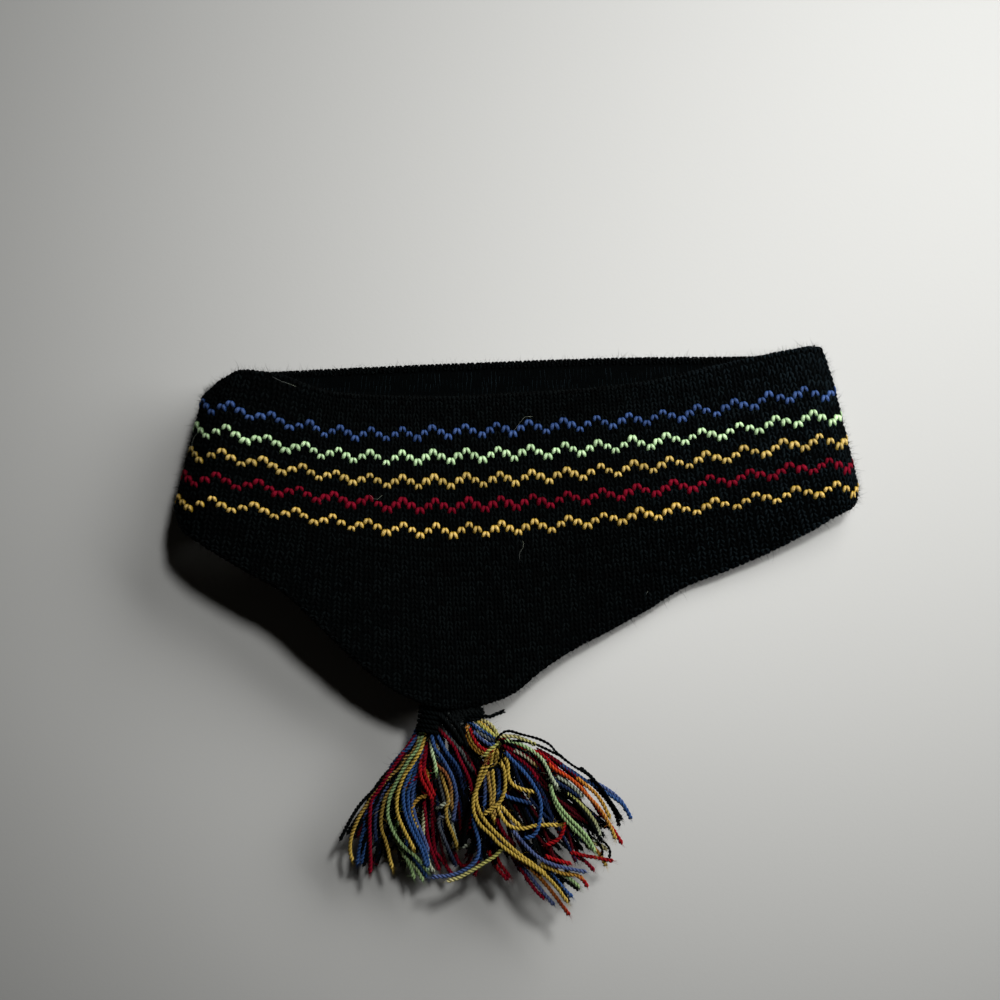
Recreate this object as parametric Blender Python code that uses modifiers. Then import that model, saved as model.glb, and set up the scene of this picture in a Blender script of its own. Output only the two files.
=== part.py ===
# Ear warmer headband: a knitted tube lying flat, with a V point and two yarn tassels.
# Blender 4.5, metres, +Z up. It lies on z = 0. The crown edge is towards +Y, the point towards -Y.

from collections import namedtuple
from math import pi

import bmesh
import bpy
import numpy as np
from mathutils import Matrix, Vector

MM = 0.001
TABLE_MIDDLE = (0.75, 0.37, 0.0)   # middle of the whole thing's box, in the tables' millimetres

# Driving dimensions of the knit, in millimetres and stitches
WALES = 156            # stitches round the tube
WALL = 3.6             # thickness of the double knit
FIRST_STRIPE_ROW = 8   # rows from the crown edge to the first stripe
LAST_STRIPE_ROW = 28   # rows from the crown edge to the last stripe
EDGE_ROUND = 1.2       # rounding of the crown edge and the hem
CROWN_ROWS = (0, 2, 5, 8, 13, 18, 23, 28)   # rows that the faceted tube is cut at
FLAP_STEPS = 5         # steps from the last stripe to the hem

# One rib for each place round the tube: the stitch, x at the first stripe and how far x leans for
# each millimetre towards the hem, how far the crown edge tucks in at a fold, y at the crown edge,
# at the first and last stripe and at the hem, and the height of the outer face at three of them.
Rib = namedtuple(
    "Rib", "wale x lean tuck crown_y first_y last_y hem_y crown_z last_z hem_z")
RIBS = (
    # left fold, standing tall
    Rib(-1.0, -108.4, -0.25, 7.0, 83.0, 77.5, 44.6, 41.0, 12.0, 12.5, 12.5),
    Rib(1.5, -104.0, -0.24, 5.0, 85.0, 76.4, 44.2, 33.5, 18.5, 19.5, 19.0),
    Rib(4.0, -96.1, -0.19, 2.0, 86.2, 75.5, 43.9, 27.7, 22.0, 23.5, 22.5),
    # front layer, with the V point
    Rib(8.0, -82.5, -0.18, 0.0, 85.0, 72.0, 41.9, 19.8, 22.5, 24.0, 23.0),
    Rib(12.0, -70.0, -0.15, 0.0, 81.4, 69.2, 40.1, 12.1, 22.0, 23.2, 22.5),
    Rib(16.0, -59.9, -0.08, 0.0, 79.6, 67.6, 38.0, -0.6, 20.6, 22.0, 21.5),
    Rib(20.0, -49.8, -0.02, 0.0, 79.1, 67.1, 36.4, -13.7, 19.0, 20.6, 20.0),
    Rib(24.0, -39.6, 0.02, 0.0, 78.9, 67.3, 35.3, -23.1, 17.6, 19.0, 18.0),
    Rib(28.0, -29.6, 0.05, 0.0, 78.8, 67.9, 34.9, -27.5, 16.5, 17.6, 16.0),
    Rib(32.0, -18.5, 0.04, 0.0, 79.1, 68.5, 35.1, -26.9, 15.5, 16.4, 13.6),
    Rib(36.0, -7.7, 0.05, 0.0, 79.8, 69.1, 35.5, -23.6, 14.7, 15.3, 11.4),
    Rib(40.0, 3.2, 0.05, 0.0, 80.5, 69.7, 36.2, -15.7, 14.0, 14.2, 9.5),
    Rib(44.0, 14.7, 0.06, 0.0, 81.2, 70.4, 37.2, -8.3, 13.4, 13.2, 8.0),
    Rib(48.0, 26.0, 0.08, 0.0, 82.1, 71.3, 38.5, -2.0, 12.8, 12.4, 7.0),
    Rib(52.0, 37.3, 0.11, 0.0, 83.4, 72.4, 39.9, 4.9, 12.2, 11.6, 6.4),
    Rib(56.0, 48.9, 0.14, 0.0, 85.2, 73.5, 41.4, 12.6, 11.6, 11.0, 6.4),
    Rib(60.0, 60.6, 0.19, 0.0, 87.4, 75.1, 43.2, 18.1, 11.2, 10.6, 6.8),
    Rib(64.0, 72.9, 0.24, 0.0, 89.5, 77.1, 45.2, 24.2, 10.8, 10.2, 7.6),
    Rib(68.0, 85.3, 0.29, 0.0, 91.5, 79.6, 47.2, 31.2, 10.4, 10.0, 8.4),
    # right fold, lying low
    Rib(72.0, 97.5, 0.34, 1.0, 93.6, 81.4, 49.0, 38.6, 10.0, 9.8, 9.0),
    Rib(74.5, 105.4, 0.29, 1.5, 95.0, 81.8, 48.8, 41.0, 8.4, 8.3, 8.0),
    Rib(76.0, 109.5, 0.24, 2.0, 95.6, 81.7, 48.5, 42.0, 4.9, 4.9, 4.9),
    Rib(77.5, 107.6, 0.24, 2.0, 95.6, 81.7, 48.3, 42.0, 1.3, 1.3, 1.3),
    # back layer, flat on the table
    Rib(80.0, 101.0, 0.24, 1.0, 95.0, 82.0, 49.0, 42.0, 0.0, 0.0, 0.0),
    Rib(86.0, 83.5, 0.20, 0.0, 93.2, 80.2, 47.4, 40.5, 0.0, 0.0, 0.0),
    Rib(100.0, 43.0, 0.09, 0.0, 92.0, 79.0, 46.0, 39.0, 0.0, 0.0, 0.0),
    Rib(120.0, -15.0, -0.06, 0.0, 90.4, 77.4, 44.4, 37.4, 0.0, 0.0, 0.0),
    Rib(140.0, -72.5, -0.21, 0.0, 88.6, 75.6, 43.0, 36.5, 0.0, 0.0, 0.0),
    Rib(149.0, -97.5, -0.25, 1.5, 88.0, 75.4, 43.4, 38.0, 0.0, 0.0, 0.0),
    # the left fold's lower half
    Rib(151.0, -103.6, -0.25, 4.5, 87.0, 76.2, 44.0, 39.5, 1.8, 1.8, 1.8),
    Rib(153.0, -107.4, -0.25, 6.5, 85.0, 77.0, 44.4, 40.5, 6.0, 6.0, 6.0),
)

# Places round the tube where it is cut into facets: close on the folds, wide on the back
FACET_WALES = (
    *range(-8, 4), *range(4, 72, 2), *range(72, 81), 89, 98, 107, 116, 125, 134, 142)

# The locks of each tassel: a control point and a tip, in millimetres, and the radius at the tip
Lock = namedtuple("Lock", "mid_x mid_y mid_z tip_x tip_y tip_z radius")
LEFT_LOCKS = (
    Lock(-44.0, -46.0, 15.0, -60.0, -71.0, 8.0, 3.2),
    Lock(-46.0, -54.0, 14.0, -55.5, -78.5, 8.5, 3.8),
    Lock(-42.0, -57.0, 15.0, -49.0, -81.5, 9.0, 4.0),
    Lock(-38.0, -59.0, 15.0, -41.5, -81.0, 9.5, 4.2),
    Lock(-33.5, -60.0, 16.0, -33.5, -82.5, 10.0, 4.2),
    Lock(-27.0, -56.0, 15.0, -26.0, -79.5, 9.5, 4.0),
    Lock(-21.5, -54.0, 12.0, -18.5, -80.0, 7.0, 3.0),
)
RIGHT_LOCKS = (
    Lock(-13.0, -68.0, 20.0, -22.5, -85.0, 16.0, 2.8),
    Lock(-11.0, -64.0, 18.0, -13.0, -80.0, 14.5, 3.4),
    Lock(-4.0, -60.0, 16.0, -3.5, -81.0, 13.5, 4.0),
    Lock(-6.0, -72.0, 17.0, 7.0, -89.5, 14.0, 3.8),
    Lock(-1.0, -68.0, 18.0, 15.0, -94.0, 14.5, 2.8),
    Lock(8.0, -66.0, 16.0, 18.5, -87.0, 12.0, 3.8),
)
FAN_LOCKS = (
    Lock(8.0, -56.0, 15.0, 24.5, -82.0, 11.0, 3.8),
    Lock(17.0, -49.0, 15.0, 29.0, -77.0, 10.0, 4.0),
    Lock(17.0, -44.0, 15.0, 33.5, -71.0, 9.5, 3.6),
    Lock(17.0, -41.0, 14.0, 36.5, -65.5, 9.0, 3.0),
)
LOCK_POINTS = 7        # rings along a lock
SEAT_GAP = 0.3         # between pieces that touch

# Left bunch: a straight neck, bound with yarn
NECK_TOP = Vector((-30.2, -28.3, 13.6))
NECK_END = Vector((-31.2, -38.0, 14.4))
NECK_RADIUS = 3.3
WRAP_TURNS = 3
WRAP_YARN = 0.85       # radius of the yarn that binds it

# Right bunch: a short stem, a folded head, a tied waist
STEM_TOP = Vector((-11.8, -27.3, 10.9))
HEAD_MIDDLE = Vector((-12.0, -37.5, 12.6))
HEAD_SIZE = Vector((6.2, 7.0, 4.6))    # half its width, length and height
STEM_RADIUS = 2.4
WAIST = Vector((-10.2, -47.2, 13.2))
WAIST_RADIUS = 3.2
WAIST_END = Vector((-9.4, -52.0, 13.8))
TIE_YARN = 0.8         # radius of the thread round the waist
FAN_START = Vector((-8.5, -37.8, 13.0))

# Black yarn that sews the bunches on, from between them to the cut tail at the right
SEWING_ROUTE = (
    (-23.9, -29.6, 12.6), (-23.3, -33.0, 14.4), (-21.0, -35.0, 14.6), (-18.9, -32.4, 14.2),
    (-17.0, -29.6, 15.0), (-13.6, -29.2, 15.2), (-10.0, -29.6, 14.6), (-7.4, -28.4, 13.2),
    (-4.4, -27.4, 12.6), (-1.6, -28.8, 12.2),
)
SEWING_YARN = 0.85     # its radius

# Colours: (red, green, blue), roughness
FINISHES = {
    "knit_band": ((0.012, 0.013, 0.014), 0.95),
    "tassel_left": ((0.30, 0.20, 0.10), 0.85),
    "tassel_right": ((0.42, 0.26, 0.07), 0.85),
    "neck_wrap": ((0.010, 0.010, 0.012), 0.90),
    "waist_tie": ((0.010, 0.010, 0.012), 0.90),
    "sewing_yarn": ((0.010, 0.010, 0.012), 0.90),
}


def clear_scene():
    for thing in list(bpy.data.objects):
        bpy.data.objects.remove(thing, do_unlink=True)


def new_collection(name):
    group = bpy.data.collections.new(name)
    bpy.context.scene.collection.children.link(group)
    return group


def finish_of(name):
    colour, rough = FINISHES[name]
    finish = bpy.data.materials.new(name + "_yarn")
    finish.use_nodes = True
    shader = finish.node_tree.nodes["Principled BSDF"]
    shader.inputs["Base Color"].default_value = (*colour, 1.0)
    shader.inputs["Roughness"].default_value = rough
    shader.inputs["Metallic"].default_value = 0.0
    return finish


def add_object(name, mesh, group):
    thing = bpy.data.objects.new(name, mesh)
    group.objects.link(thing)
    return thing


def slopes(knots, values):
    """Slopes of a smooth closed curve that never runs past its own points."""
    steps = np.diff(np.append(knots, knots[0] + WALES))
    after = (np.roll(values, -1) - values) / steps
    before, step_before = np.roll(after, 1), np.roll(steps, 1)
    weight_a, weight_b = 2 * steps + step_before, steps + 2 * step_before
    same_way = before * after > 0
    safe_before = np.where(same_way, before, 1.0)
    safe_after = np.where(same_way, after, 1.0)
    mean = (weight_a + weight_b) / (weight_a / safe_before + weight_b / safe_after)
    return np.where(same_way, mean, 0.0)


def rib_at(wale):
    """The rib's values at any stitch round the tube."""
    knots = np.array([rib.wale for rib in RIBS])
    turned = (wale - knots[0]) % WALES + knots[0]
    i = int(np.searchsorted(knots, turned, side="right")) - 1
    j = (i + 1) % len(RIBS)
    step = (knots[j] - knots[i]) % WALES
    s = (turned - knots[i]) / step
    found = []
    for column in range(1, len(Rib._fields)):
        values = np.array([rib[column] for rib in RIBS])
        slope = slopes(knots, values)
        found.append(
            (1 + 2 * s) * (1 - s) ** 2 * values[i] + s * (1 - s) ** 2 * step * slope[i]
            + s * s * (3 - 2 * s) * values[j] + s * s * (s - 1) * step * slope[j])
    return Rib(wale, *found)


def hem_row(rib):
    row_height = (rib.first_y - rib.last_y) / (LAST_STRIPE_ROW - FIRST_STRIPE_ROW)
    return LAST_STRIPE_ROW + (rib.last_y - rib.hem_y) / row_height


def point_on(rib, row):
    """A point of the tube's outer face, in millimetres."""
    rows = (0, FIRST_STRIPE_ROW, LAST_STRIPE_ROW, hem_row(rib))
    y = np.interp(row, rows, (rib.crown_y, rib.first_y, rib.last_y, rib.hem_y))
    z = np.interp(row, (0, LAST_STRIPE_ROW, rows[3]), (rib.crown_z, rib.last_z, rib.hem_z))
    inwards = 1 if rib.x < 0 else -1
    tucked = inwards * rib.tuck * max(0.0, 1 - row / FIRST_STRIPE_ROW) ** 2
    return Vector((rib.x + rib.lean * (rib.first_y - y) + tucked, y, z))


def knit_band(group):
    """The tube's outer face, given its wall by Solidify and its soft edges by Bevel."""
    bm = bmesh.new()
    columns = []
    for wale in FACET_WALES:
        rib = rib_at(wale)
        flap = np.linspace(LAST_STRIPE_ROW, hem_row(rib), FLAP_STEPS + 1)[1:]
        rows = (*CROWN_ROWS, *flap)
        columns.append([bm.verts.new(point_on(rib, row) * MM) for row in rows])
    for left, right in zip(columns, columns[1:] + columns[:1]):
        for k in range(len(left) - 1):
            bm.faces.new((left[k], left[k + 1], right[k + 1], right[k]))
    mesh = bpy.data.meshes.new("knit_band")
    bm.to_mesh(mesh)
    bm.free()
    band = add_object("knit_band", mesh, group)
    wall = band.modifiers.new("wall", "SOLIDIFY")
    wall.thickness = WALL * MM
    wall.offset = -1
    edges = band.modifiers.new("soft edges", "BEVEL")
    edges.width = EDGE_ROUND * MM
    edges.segments = 2
    edges.limit_method = "ANGLE"
    edges.angle_limit = 55 * pi / 180
    mesh.shade_smooth()
    return band


def tube(name, points, radii, group, sides=2):
    """A closed tube through points, made from a curve and turned into a mesh."""
    curve = bpy.data.curves.new(name, "CURVE")
    curve.dimensions = "3D"
    curve.bevel_depth = 1.0
    curve.bevel_resolution = sides
    curve.use_fill_caps = True
    line = curve.splines.new("POLY")
    line.points.add(len(points) - 1)
    for place, point, radius in zip(line.points, points, radii):
        place.co = (*(Vector(point) * MM), 1.0)
        place.radius = radius * MM
    drawn = bpy.data.objects.new(name, curve)
    bpy.context.scene.collection.objects.link(drawn)
    seen = bpy.context.evaluated_depsgraph_get()
    mesh = bpy.data.meshes.new_from_object(drawn.evaluated_get(seen))
    bpy.data.objects.remove(drawn, do_unlink=True)
    bm = bmesh.new()
    bm.from_mesh(mesh)
    bmesh.ops.remove_doubles(bm, verts=bm.verts, dist=1e-6)
    bm.to_mesh(mesh)
    bm.free()
    return add_object(name, mesh, group)


def lock_route(start, lock):
    """A bowed line from where the lock leaves the bunch to its tip."""
    middle = Vector((lock.mid_x, lock.mid_y, lock.mid_z))
    tip = Vector((lock.tip_x, lock.tip_y, lock.tip_z))
    steps = [k / (LOCK_POINTS - 1) for k in range(LOCK_POINTS)]
    return [start * (1 - t) ** 2 + middle * 2 * t * (1 - t) + tip * t * t for t in steps]


def add_locks(bunch, locks, start, start_radius, group):
    """Fuses each lock to the bunch."""
    for number, lock in enumerate(locks, 1):
        within = Vector((0.07, -0.23, -0.09)) * number
        route = lock_route(start + within, lock)
        swell = [start_radius + (lock.radius - start_radius) * k / (LOCK_POINTS - 2)
                 for k in range(LOCK_POINTS - 1)]
        piece = tube(f"{bunch.name}_lock_{number}", route, (*swell, lock.radius * 0.55), group)
        fuse(bunch, piece)


def fuse(body, piece):
    piece.hide_render = True
    piece.display_type = "WIRE"
    union = body.modifiers.new("with " + piece.name, "BOOLEAN")
    union.operation = "UNION"
    union.object = piece


def tassel_left(group, guides):
    bunch = tube("tassel_left", (NECK_TOP, NECK_TOP.lerp(NECK_END, 0.1), NECK_END),
                 (NECK_RADIUS * 0.8, NECK_RADIUS, NECK_RADIUS), group, sides=4)
    add_locks(bunch, LEFT_LOCKS, NECK_TOP.lerp(NECK_END, 0.8), NECK_RADIUS * 0.6, guides)
    return bunch


def tassel_right(group, guides):
    bunch = tube("tassel_right", (STEM_TOP, STEM_TOP.lerp(HEAD_MIDDLE, 0.15), HEAD_MIDDLE),
                 (STEM_RADIUS * 0.8, STEM_RADIUS, STEM_RADIUS), group, sides=3)
    bpy.ops.mesh.primitive_uv_sphere_add(segments=14, ring_count=9, radius=1.0)
    head = bpy.context.object
    head.name = "tassel_right_head"
    head.data.transform(Matrix.Diagonal((*(HEAD_SIZE * MM), 1.0)))
    head.location = HEAD_MIDDLE * MM
    for holder in list(head.users_collection):
        holder.objects.unlink(head)
    guides.objects.link(head)
    fuse(bunch, head)
    fuse(bunch, tube("tassel_right_waist", (HEAD_MIDDLE, WAIST, WAIST_END),
                     (WAIST_RADIUS, WAIST_RADIUS, WAIST_RADIUS), guides, sides=4))
    add_locks(bunch, RIGHT_LOCKS, WAIST_END, WAIST_RADIUS * 0.6, guides)
    add_locks(bunch, FAN_LOCKS, FAN_START, WAIST_RADIUS * 0.6, guides)
    return bunch


def bound_ring(name, middle, along, hole, yarn, turns, group):
    """Turns of yarn side by side round a bunch: a turned profile, square to the bunch."""
    length = turns * 2 * yarn
    profile = [(hole, -length / 2), (hole, length / 2)]
    for turn in reversed(range(turns)):
        low = -length / 2 + turn * 2 * yarn
        profile += [(hole + yarn * 0.9, low + 2 * yarn), (hole + 1.9 * yarn, low + 1.5 * yarn),
                    (hole + 1.9 * yarn, low + 0.5 * yarn)]
    profile.append((hole + yarn * 0.9, -length / 2))
    mesh = bpy.data.meshes.new(name)
    points = [(r * MM, 0.0, z * MM) for r, z in profile]
    mesh.from_pydata(points, [(k, (k + 1) % len(points)) for k in range(len(points))], [])
    ring = add_object(name, mesh, group)
    ring.location = middle * MM
    ring.rotation_mode = "QUATERNION"
    ring.rotation_quaternion = Vector((0, 0, 1)).rotation_difference(along)
    turned = ring.modifiers.new("turned", "SCREW")
    turned.steps = 16
    turned.render_steps = 16
    turned.use_merge_vertices = True
    turned.merge_threshold = 0.00001
    return ring


def neck_wrap(group):
    along = (NECK_END - NECK_TOP).normalized()
    middle = NECK_TOP.lerp(NECK_END, 0.42)
    return bound_ring(
        "neck_wrap", middle, along, NECK_RADIUS + SEAT_GAP, WRAP_YARN, WRAP_TURNS, group)


def waist_tie(group):
    along = (WAIST - HEAD_MIDDLE).normalized()
    return bound_ring(
        "waist_tie", WAIST, along, WAIST_RADIUS + SEAT_GAP, TIE_YARN, 1, group)


def smooth_route(points, between):
    """The route with more points, set on a smooth curve through its own."""
    route = [Vector(point) for point in points]
    ends = [2 * route[0] - route[1], *route, 2 * route[-1] - route[-2]]
    found = []
    for a, b, c, d in zip(ends, ends[1:], ends[2:], ends[3:]):
        for k in range(between):
            t = k / between
            found.append(0.5 * (2 * b + (c - a) * t + (2 * a - 5 * b + 4 * c - d) * t * t
                                + (3 * b - a - 3 * c + d) * t ** 3))
    return [*found, route[-1]]


def sewing_yarn(group):
    route = smooth_route(SEWING_ROUTE, 3)
    return tube("sewing_yarn", route, [SEWING_YARN] * len(route), group)


def main():
    clear_scene()
    parts = new_collection("ear_warmer_headband")
    guides = new_collection("guides")
    pieces = (knit_band(parts), tassel_left(parts, guides), tassel_right(parts, guides),
              neck_wrap(parts), waist_tie(parts), sewing_yarn(parts))
    for piece in pieces:
        piece.data.materials.append(finish_of(piece.name))
    lying = add_object("lying", None, guides)
    lying.location = -Vector(TABLE_MIDDLE) * MM
    for thing in (*parts.objects, *guides.objects):
        if thing is not lying:
            thing.parent = lying


main()
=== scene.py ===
import math

import bmesh
import bpy
import numpy as np
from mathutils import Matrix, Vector


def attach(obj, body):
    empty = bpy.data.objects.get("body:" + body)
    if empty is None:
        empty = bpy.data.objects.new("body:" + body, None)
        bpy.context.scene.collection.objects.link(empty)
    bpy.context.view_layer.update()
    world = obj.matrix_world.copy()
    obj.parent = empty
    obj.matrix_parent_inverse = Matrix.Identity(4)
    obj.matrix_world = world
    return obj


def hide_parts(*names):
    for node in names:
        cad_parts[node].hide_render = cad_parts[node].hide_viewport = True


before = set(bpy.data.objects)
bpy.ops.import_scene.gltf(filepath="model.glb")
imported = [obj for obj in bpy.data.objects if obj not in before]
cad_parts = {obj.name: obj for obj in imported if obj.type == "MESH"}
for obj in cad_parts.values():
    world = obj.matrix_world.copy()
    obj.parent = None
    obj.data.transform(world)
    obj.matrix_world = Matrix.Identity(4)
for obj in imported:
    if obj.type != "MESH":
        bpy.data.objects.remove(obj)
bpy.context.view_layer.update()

# An ear warmer seen from above: a knitted tube lying flat, with zigzag stripes, a V point and
# two tassels. Tables are in millimetres, photo pixels or stitches; meshes are in metres.
mm = 0.001
tableMiddle = np.array((0.75, 0.37, 0.0))   # the part's middle, in the tables' millimetres

photo = dict(
    middle=(-7.45, 43.23),   # the point below the camera, mm
    height=420.0,            # camera above the table, mm
    pixel=0.35,              # mm on the table for one pixel
    lens=43.2, sensor=36.0,  # mm
    centre=500,              # pixels from an edge to the middle
    clip=(0.01, 20.0),       # nearest and farthest that the camera sees, m
)

yarns = dict(                # base colours, linear
    black=(0.0011, 0.0017, 0.0018),
    # added to black where it is paler, on the front's right part as painted light
    paleTintAndPaintedLight=(0.0014, 0.0028, 0.0038),
    blue=(0.012, 0.042, 0.130),
    navy=(0.005, 0.011, 0.034),
    lavender=(0.042, 0.060, 0.140),
    green=(0.160, 0.255, 0.098),
    leaf=(0.235, 0.235, 0.045),
    pale=(0.310, 0.275, 0.110),
    white=(0.230, 0.260, 0.190),
    grey=(0.085, 0.092, 0.090),
    gold=(0.285, 0.190, 0.022),
    tan=(0.170, 0.100, 0.020),
    amber=(0.310, 0.115, 0.008),
    red=(0.180, 0.0040, 0.0055),
    crimson=(0.110, 0.0018, 0.0080),
    maroon=(0.035, 0.0015, 0.0035),
    scarlet=(0.330, 0.030, 0.004),
)


def linked(thing):
    bpy.context.scene.collection.objects.link(thing)
    return thing


# Node trees

class Wire:                  # a node's output; arithmetic on it adds Math nodes
    def __init__(self, tree, node, socket):
        self.tree, self.node, self.socket = tree, node, socket

    def out(self, name):
        return Wire(self.tree, self.node, self.node.outputs[name])

    def math(self, operation, *values):
        return self.tree.add("ShaderNodeMath", {"operation": operation}, dict(enumerate(values)))

    def __add__(self, other):
        return self.math("ADD", self, other)

    def __sub__(self, other):
        return self.math("SUBTRACT", self, other)

    def __rsub__(self, other):
        return self.math("SUBTRACT", other, self)

    def __mul__(self, other):
        return self.math("MULTIPLY", self, other)

    def __truediv__(self, other):
        return self.math("DIVIDE", self, other)

    __radd__, __rmul__ = __add__, __mul__


class Tree:
    def __init__(self, nodeTree):
        self.nodes, self.links = nodeTree.nodes, nodeTree.links

    def add(self, kind, settings=None, sockets=None):
        node = self.nodes.new(kind)
        for name, value in (settings or {}).items():
            setattr(node, name, value)
        for key, value in (sockets or {}).items():
            if isinstance(key, int):
                socket = node.inputs[key]
            else:
                socket = next(s for s in node.inputs if s.name == key and s.enabled)
            if isinstance(value, Wire):
                self.links.new(value.socket, socket)
            else:
                socket.default_value = value
        return Wire(self, node, next((s for s in node.outputs if s.enabled), None))


def geometryTree(name, inputs):
    group = bpy.data.node_groups.new(name, "GeometryNodeTree")
    group.interface.new_socket("Geometry", in_out="INPUT", socket_type="NodeSocketGeometry")
    for label, kind in inputs.items():
        group.interface.new_socket(label, in_out="INPUT", socket_type="NodeSocket" + kind)
    group.interface.new_socket("Geometry", in_out="OUTPUT", socket_type="NodeSocketGeometry")
    tree = Tree(group)
    return group, tree, tree.add("NodeGroupInput")


def closeTree(tree, geometry, material):
    whole = tree.add("GeometryNodeRealizeInstances", {}, {"Geometry": geometry})
    dyed = tree.add("GeometryNodeSetMaterial", {}, {"Geometry": whole, "Material": material})
    tree.add("NodeGroupOutput", {}, {"Geometry": dyed})


def named(tree, name, kind):
    return tree.add("GeometryNodeInputNamedAttribute", {"data_type": kind}, {"Name": name})


def stored(tree, geometry, name, kind, value):
    return tree.add("GeometryNodeStoreNamedAttribute", {"data_type": kind, "domain": "POINT"}, {
        "Geometry": geometry, "Name": name, "Value": value})


def grown(host, group, values, name):
    # runs a tree on a host mesh, and keeps the result as a plain mesh
    modifier = host.modifiers.new(group.name, "NODES")
    modifier.node_group = group
    for item in group.interface.items_tree:
        if item.in_out == "INPUT" and item.name in values:
            modifier[item.identifier] = values[item.name]
    seen = bpy.context.evaluated_depsgraph_get()
    mesh = bpy.data.meshes.new_from_object(
        host.evaluated_get(seen), preserve_all_data_layers=True, depsgraph=seen)
    bpy.data.objects.remove(host, do_unlink=True)
    for spare in ("up", "outward", "size", "phase", "thick", "axis"):
        if spare in mesh.attributes:
            mesh.attributes.remove(mesh.attributes[spare])
    mesh.name = name
    piece = linked(bpy.data.objects.new(name, mesh))
    print(f"{name}: {sum(len(f.vertices) - 2 for f in mesh.polygons)} triangles")
    return piece


def built(name, points, edges=(), faces=(), **attributes):
    # a mesh in metres, with values on its points for a tree or a material to read
    mesh = bpy.data.meshes.new(name)
    mesh.from_pydata(points, edges, faces)
    for label, values in attributes.items():
        values = np.asarray(values, np.float32)
        kind, slot = {1: ("FLOAT", "value"), 3: ("FLOAT_VECTOR", "vector"),
                      4: ("FLOAT_COLOR", "color")}[1 if values.ndim == 1 else values.shape[1]]
        mesh.attributes.new(label, kind, "POINT").data.foreach_set(slot, values.ravel())
    return linked(bpy.data.objects.new(name, mesh))


# Materials

wool = dict(
    hairGrain=3.1, hairBend=1.5,   # the fine hairs' grain beside the fibres', and their bends
    bump=0.6, hairRoughness=0.12,
    paintedHighlight=(1.0, 0.97, 0.82, 1.0), blueShare=0.1,   # painted highlight: what pale yarns turn to on their ridges
)


def yarnMaterial(name, fibre, grain, stretch, depth, rough, gloss, lit=0.0):
    # wool dyed by the yarnColour attribute, mottled by fibres that are stretched along y;
    # the tone attribute darkens the grooves as painted shade, and where it is above 1 pale yarns whiten
    # as a painted highlight
    material = bpy.data.materials.new(name)
    material.use_nodes = True
    tree = Tree(material.node_tree)
    tree.nodes.clear()
    place = tree.add("ShaderNodeVectorMath", {"operation": "MULTIPLY"}, {
        0: tree.add("ShaderNodeTexCoord").out("Object"), 1: (1.0, 1 / stretch, 1.0)})
    mottle = tree.add("ShaderNodeTexNoise", {}, {
        "Vector": place, "Scale": grain, "Detail": 2.0, "Roughness": 0.6})
    hairs = tree.add("ShaderNodeTexNoise", {}, {
        "Vector": place, "Scale": grain * wool["hairGrain"], "Detail": 1.0,
        "Distortion": wool["hairBend"]})
    ridge = tree.add("ShaderNodeAttribute", {"attribute_name": "ridgeTone"}).out("Fac")
    dye = tree.add("ShaderNodeAttribute", {"attribute_name": "yarnColour"})
    # the colour is darkened in grooves as painted shade and brightened on ridges as painted highlight
    colour = tree.add("ShaderNodeMix", {"data_type": "RGBA", "blend_type": "MULTIPLY"}, {
        "Factor": 1.0, "B": (mottle * (2 * fibre) + (1 - fibre)) * ridge, "A": dye})
    # painted highlight: pale yarns whiten on their ridges
    if lit:
        parts = tree.add("ShaderNodeSeparateColor", {}, {"Color": dye})
        light = parts.out("Green") + parts.out("Blue") * wool["blueShare"]
        colour = tree.add("ShaderNodeMix", {"data_type": "RGBA"}, {
            "Factor": (ridge - 1.0) * light * lit * mottle, "A": colour,
            "B": wool["paintedHighlight"]})
    bump = tree.add("ShaderNodeBump", {}, {
        "Strength": wool["bump"], "Distance": depth, "Height": hairs + mottle})
    surface = tree.add("ShaderNodeBsdfPrincipled", {}, {
        "Base Color": colour, "Roughness": rough + wool["hairRoughness"] * hairs,
        "Normal": bump, "Specular IOR Level": gloss})
    tree.add("ShaderNodeOutputMaterial", {}, {"Surface": surface})
    return material


# fibre mottle, grain, stretch, bump depth in m, roughness, gloss, painted highlight whitening
blackKnit = yarnMaterial("blackKnit", 1.00, 2300.0, 1.4, 0.0003, 0.85, 0.03)
colouredKnit = yarnMaterial("colouredKnit", 0.50, 2600.0, 3.5, 0.00025, 0.60, 0.02, 2.0)
blackWool = yarnMaterial("blackWool", 0.60, 1700.0, 2.5, 0.00025, 0.80, 0.01)
tasselWool = yarnMaterial("tasselWool", 0.60, 2400.0, 2.5, 0.00025, 0.65, 0.03, 1.2)
fuzzWool = yarnMaterial("fuzzWool", 0.20, 900.0, 1.0, 0.00005, 0.80, 0.05)

# The band's surface

band = dict(
    wales=156, halfWall=1.8, firstStripe=8, lastStripe=28,
    sink=0.40,               # how deep a stitch's own base lies, in wale widths
    rimFlat=0.60, rimHeight=0.62, rimStep=0.56,   # flatter, shorter, closer round an edge
    innerGap=0.3, rimGap=0.2, hemGap=0.8,   # rows left free before and after an edge
    halfRow=0.5,
    hemCorner=(76.0, 3.0, 2.6, 5.0),   # rounds the low right corner: wale, wales, mm, rows
    softening=(-3.0, -1.5, 0.0, 1.5, 3.0),   # rows that round the slope at the last stripe
    probe=0.4,               # step for the directions of the skin, in wales and rows
    upright=0.6,             # how far a stitch stands square to its row, not along its wale
    widths=(1.6, 3.6), heights=(1.2, 2.2),   # least and most of a stitch, mm
)

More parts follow.
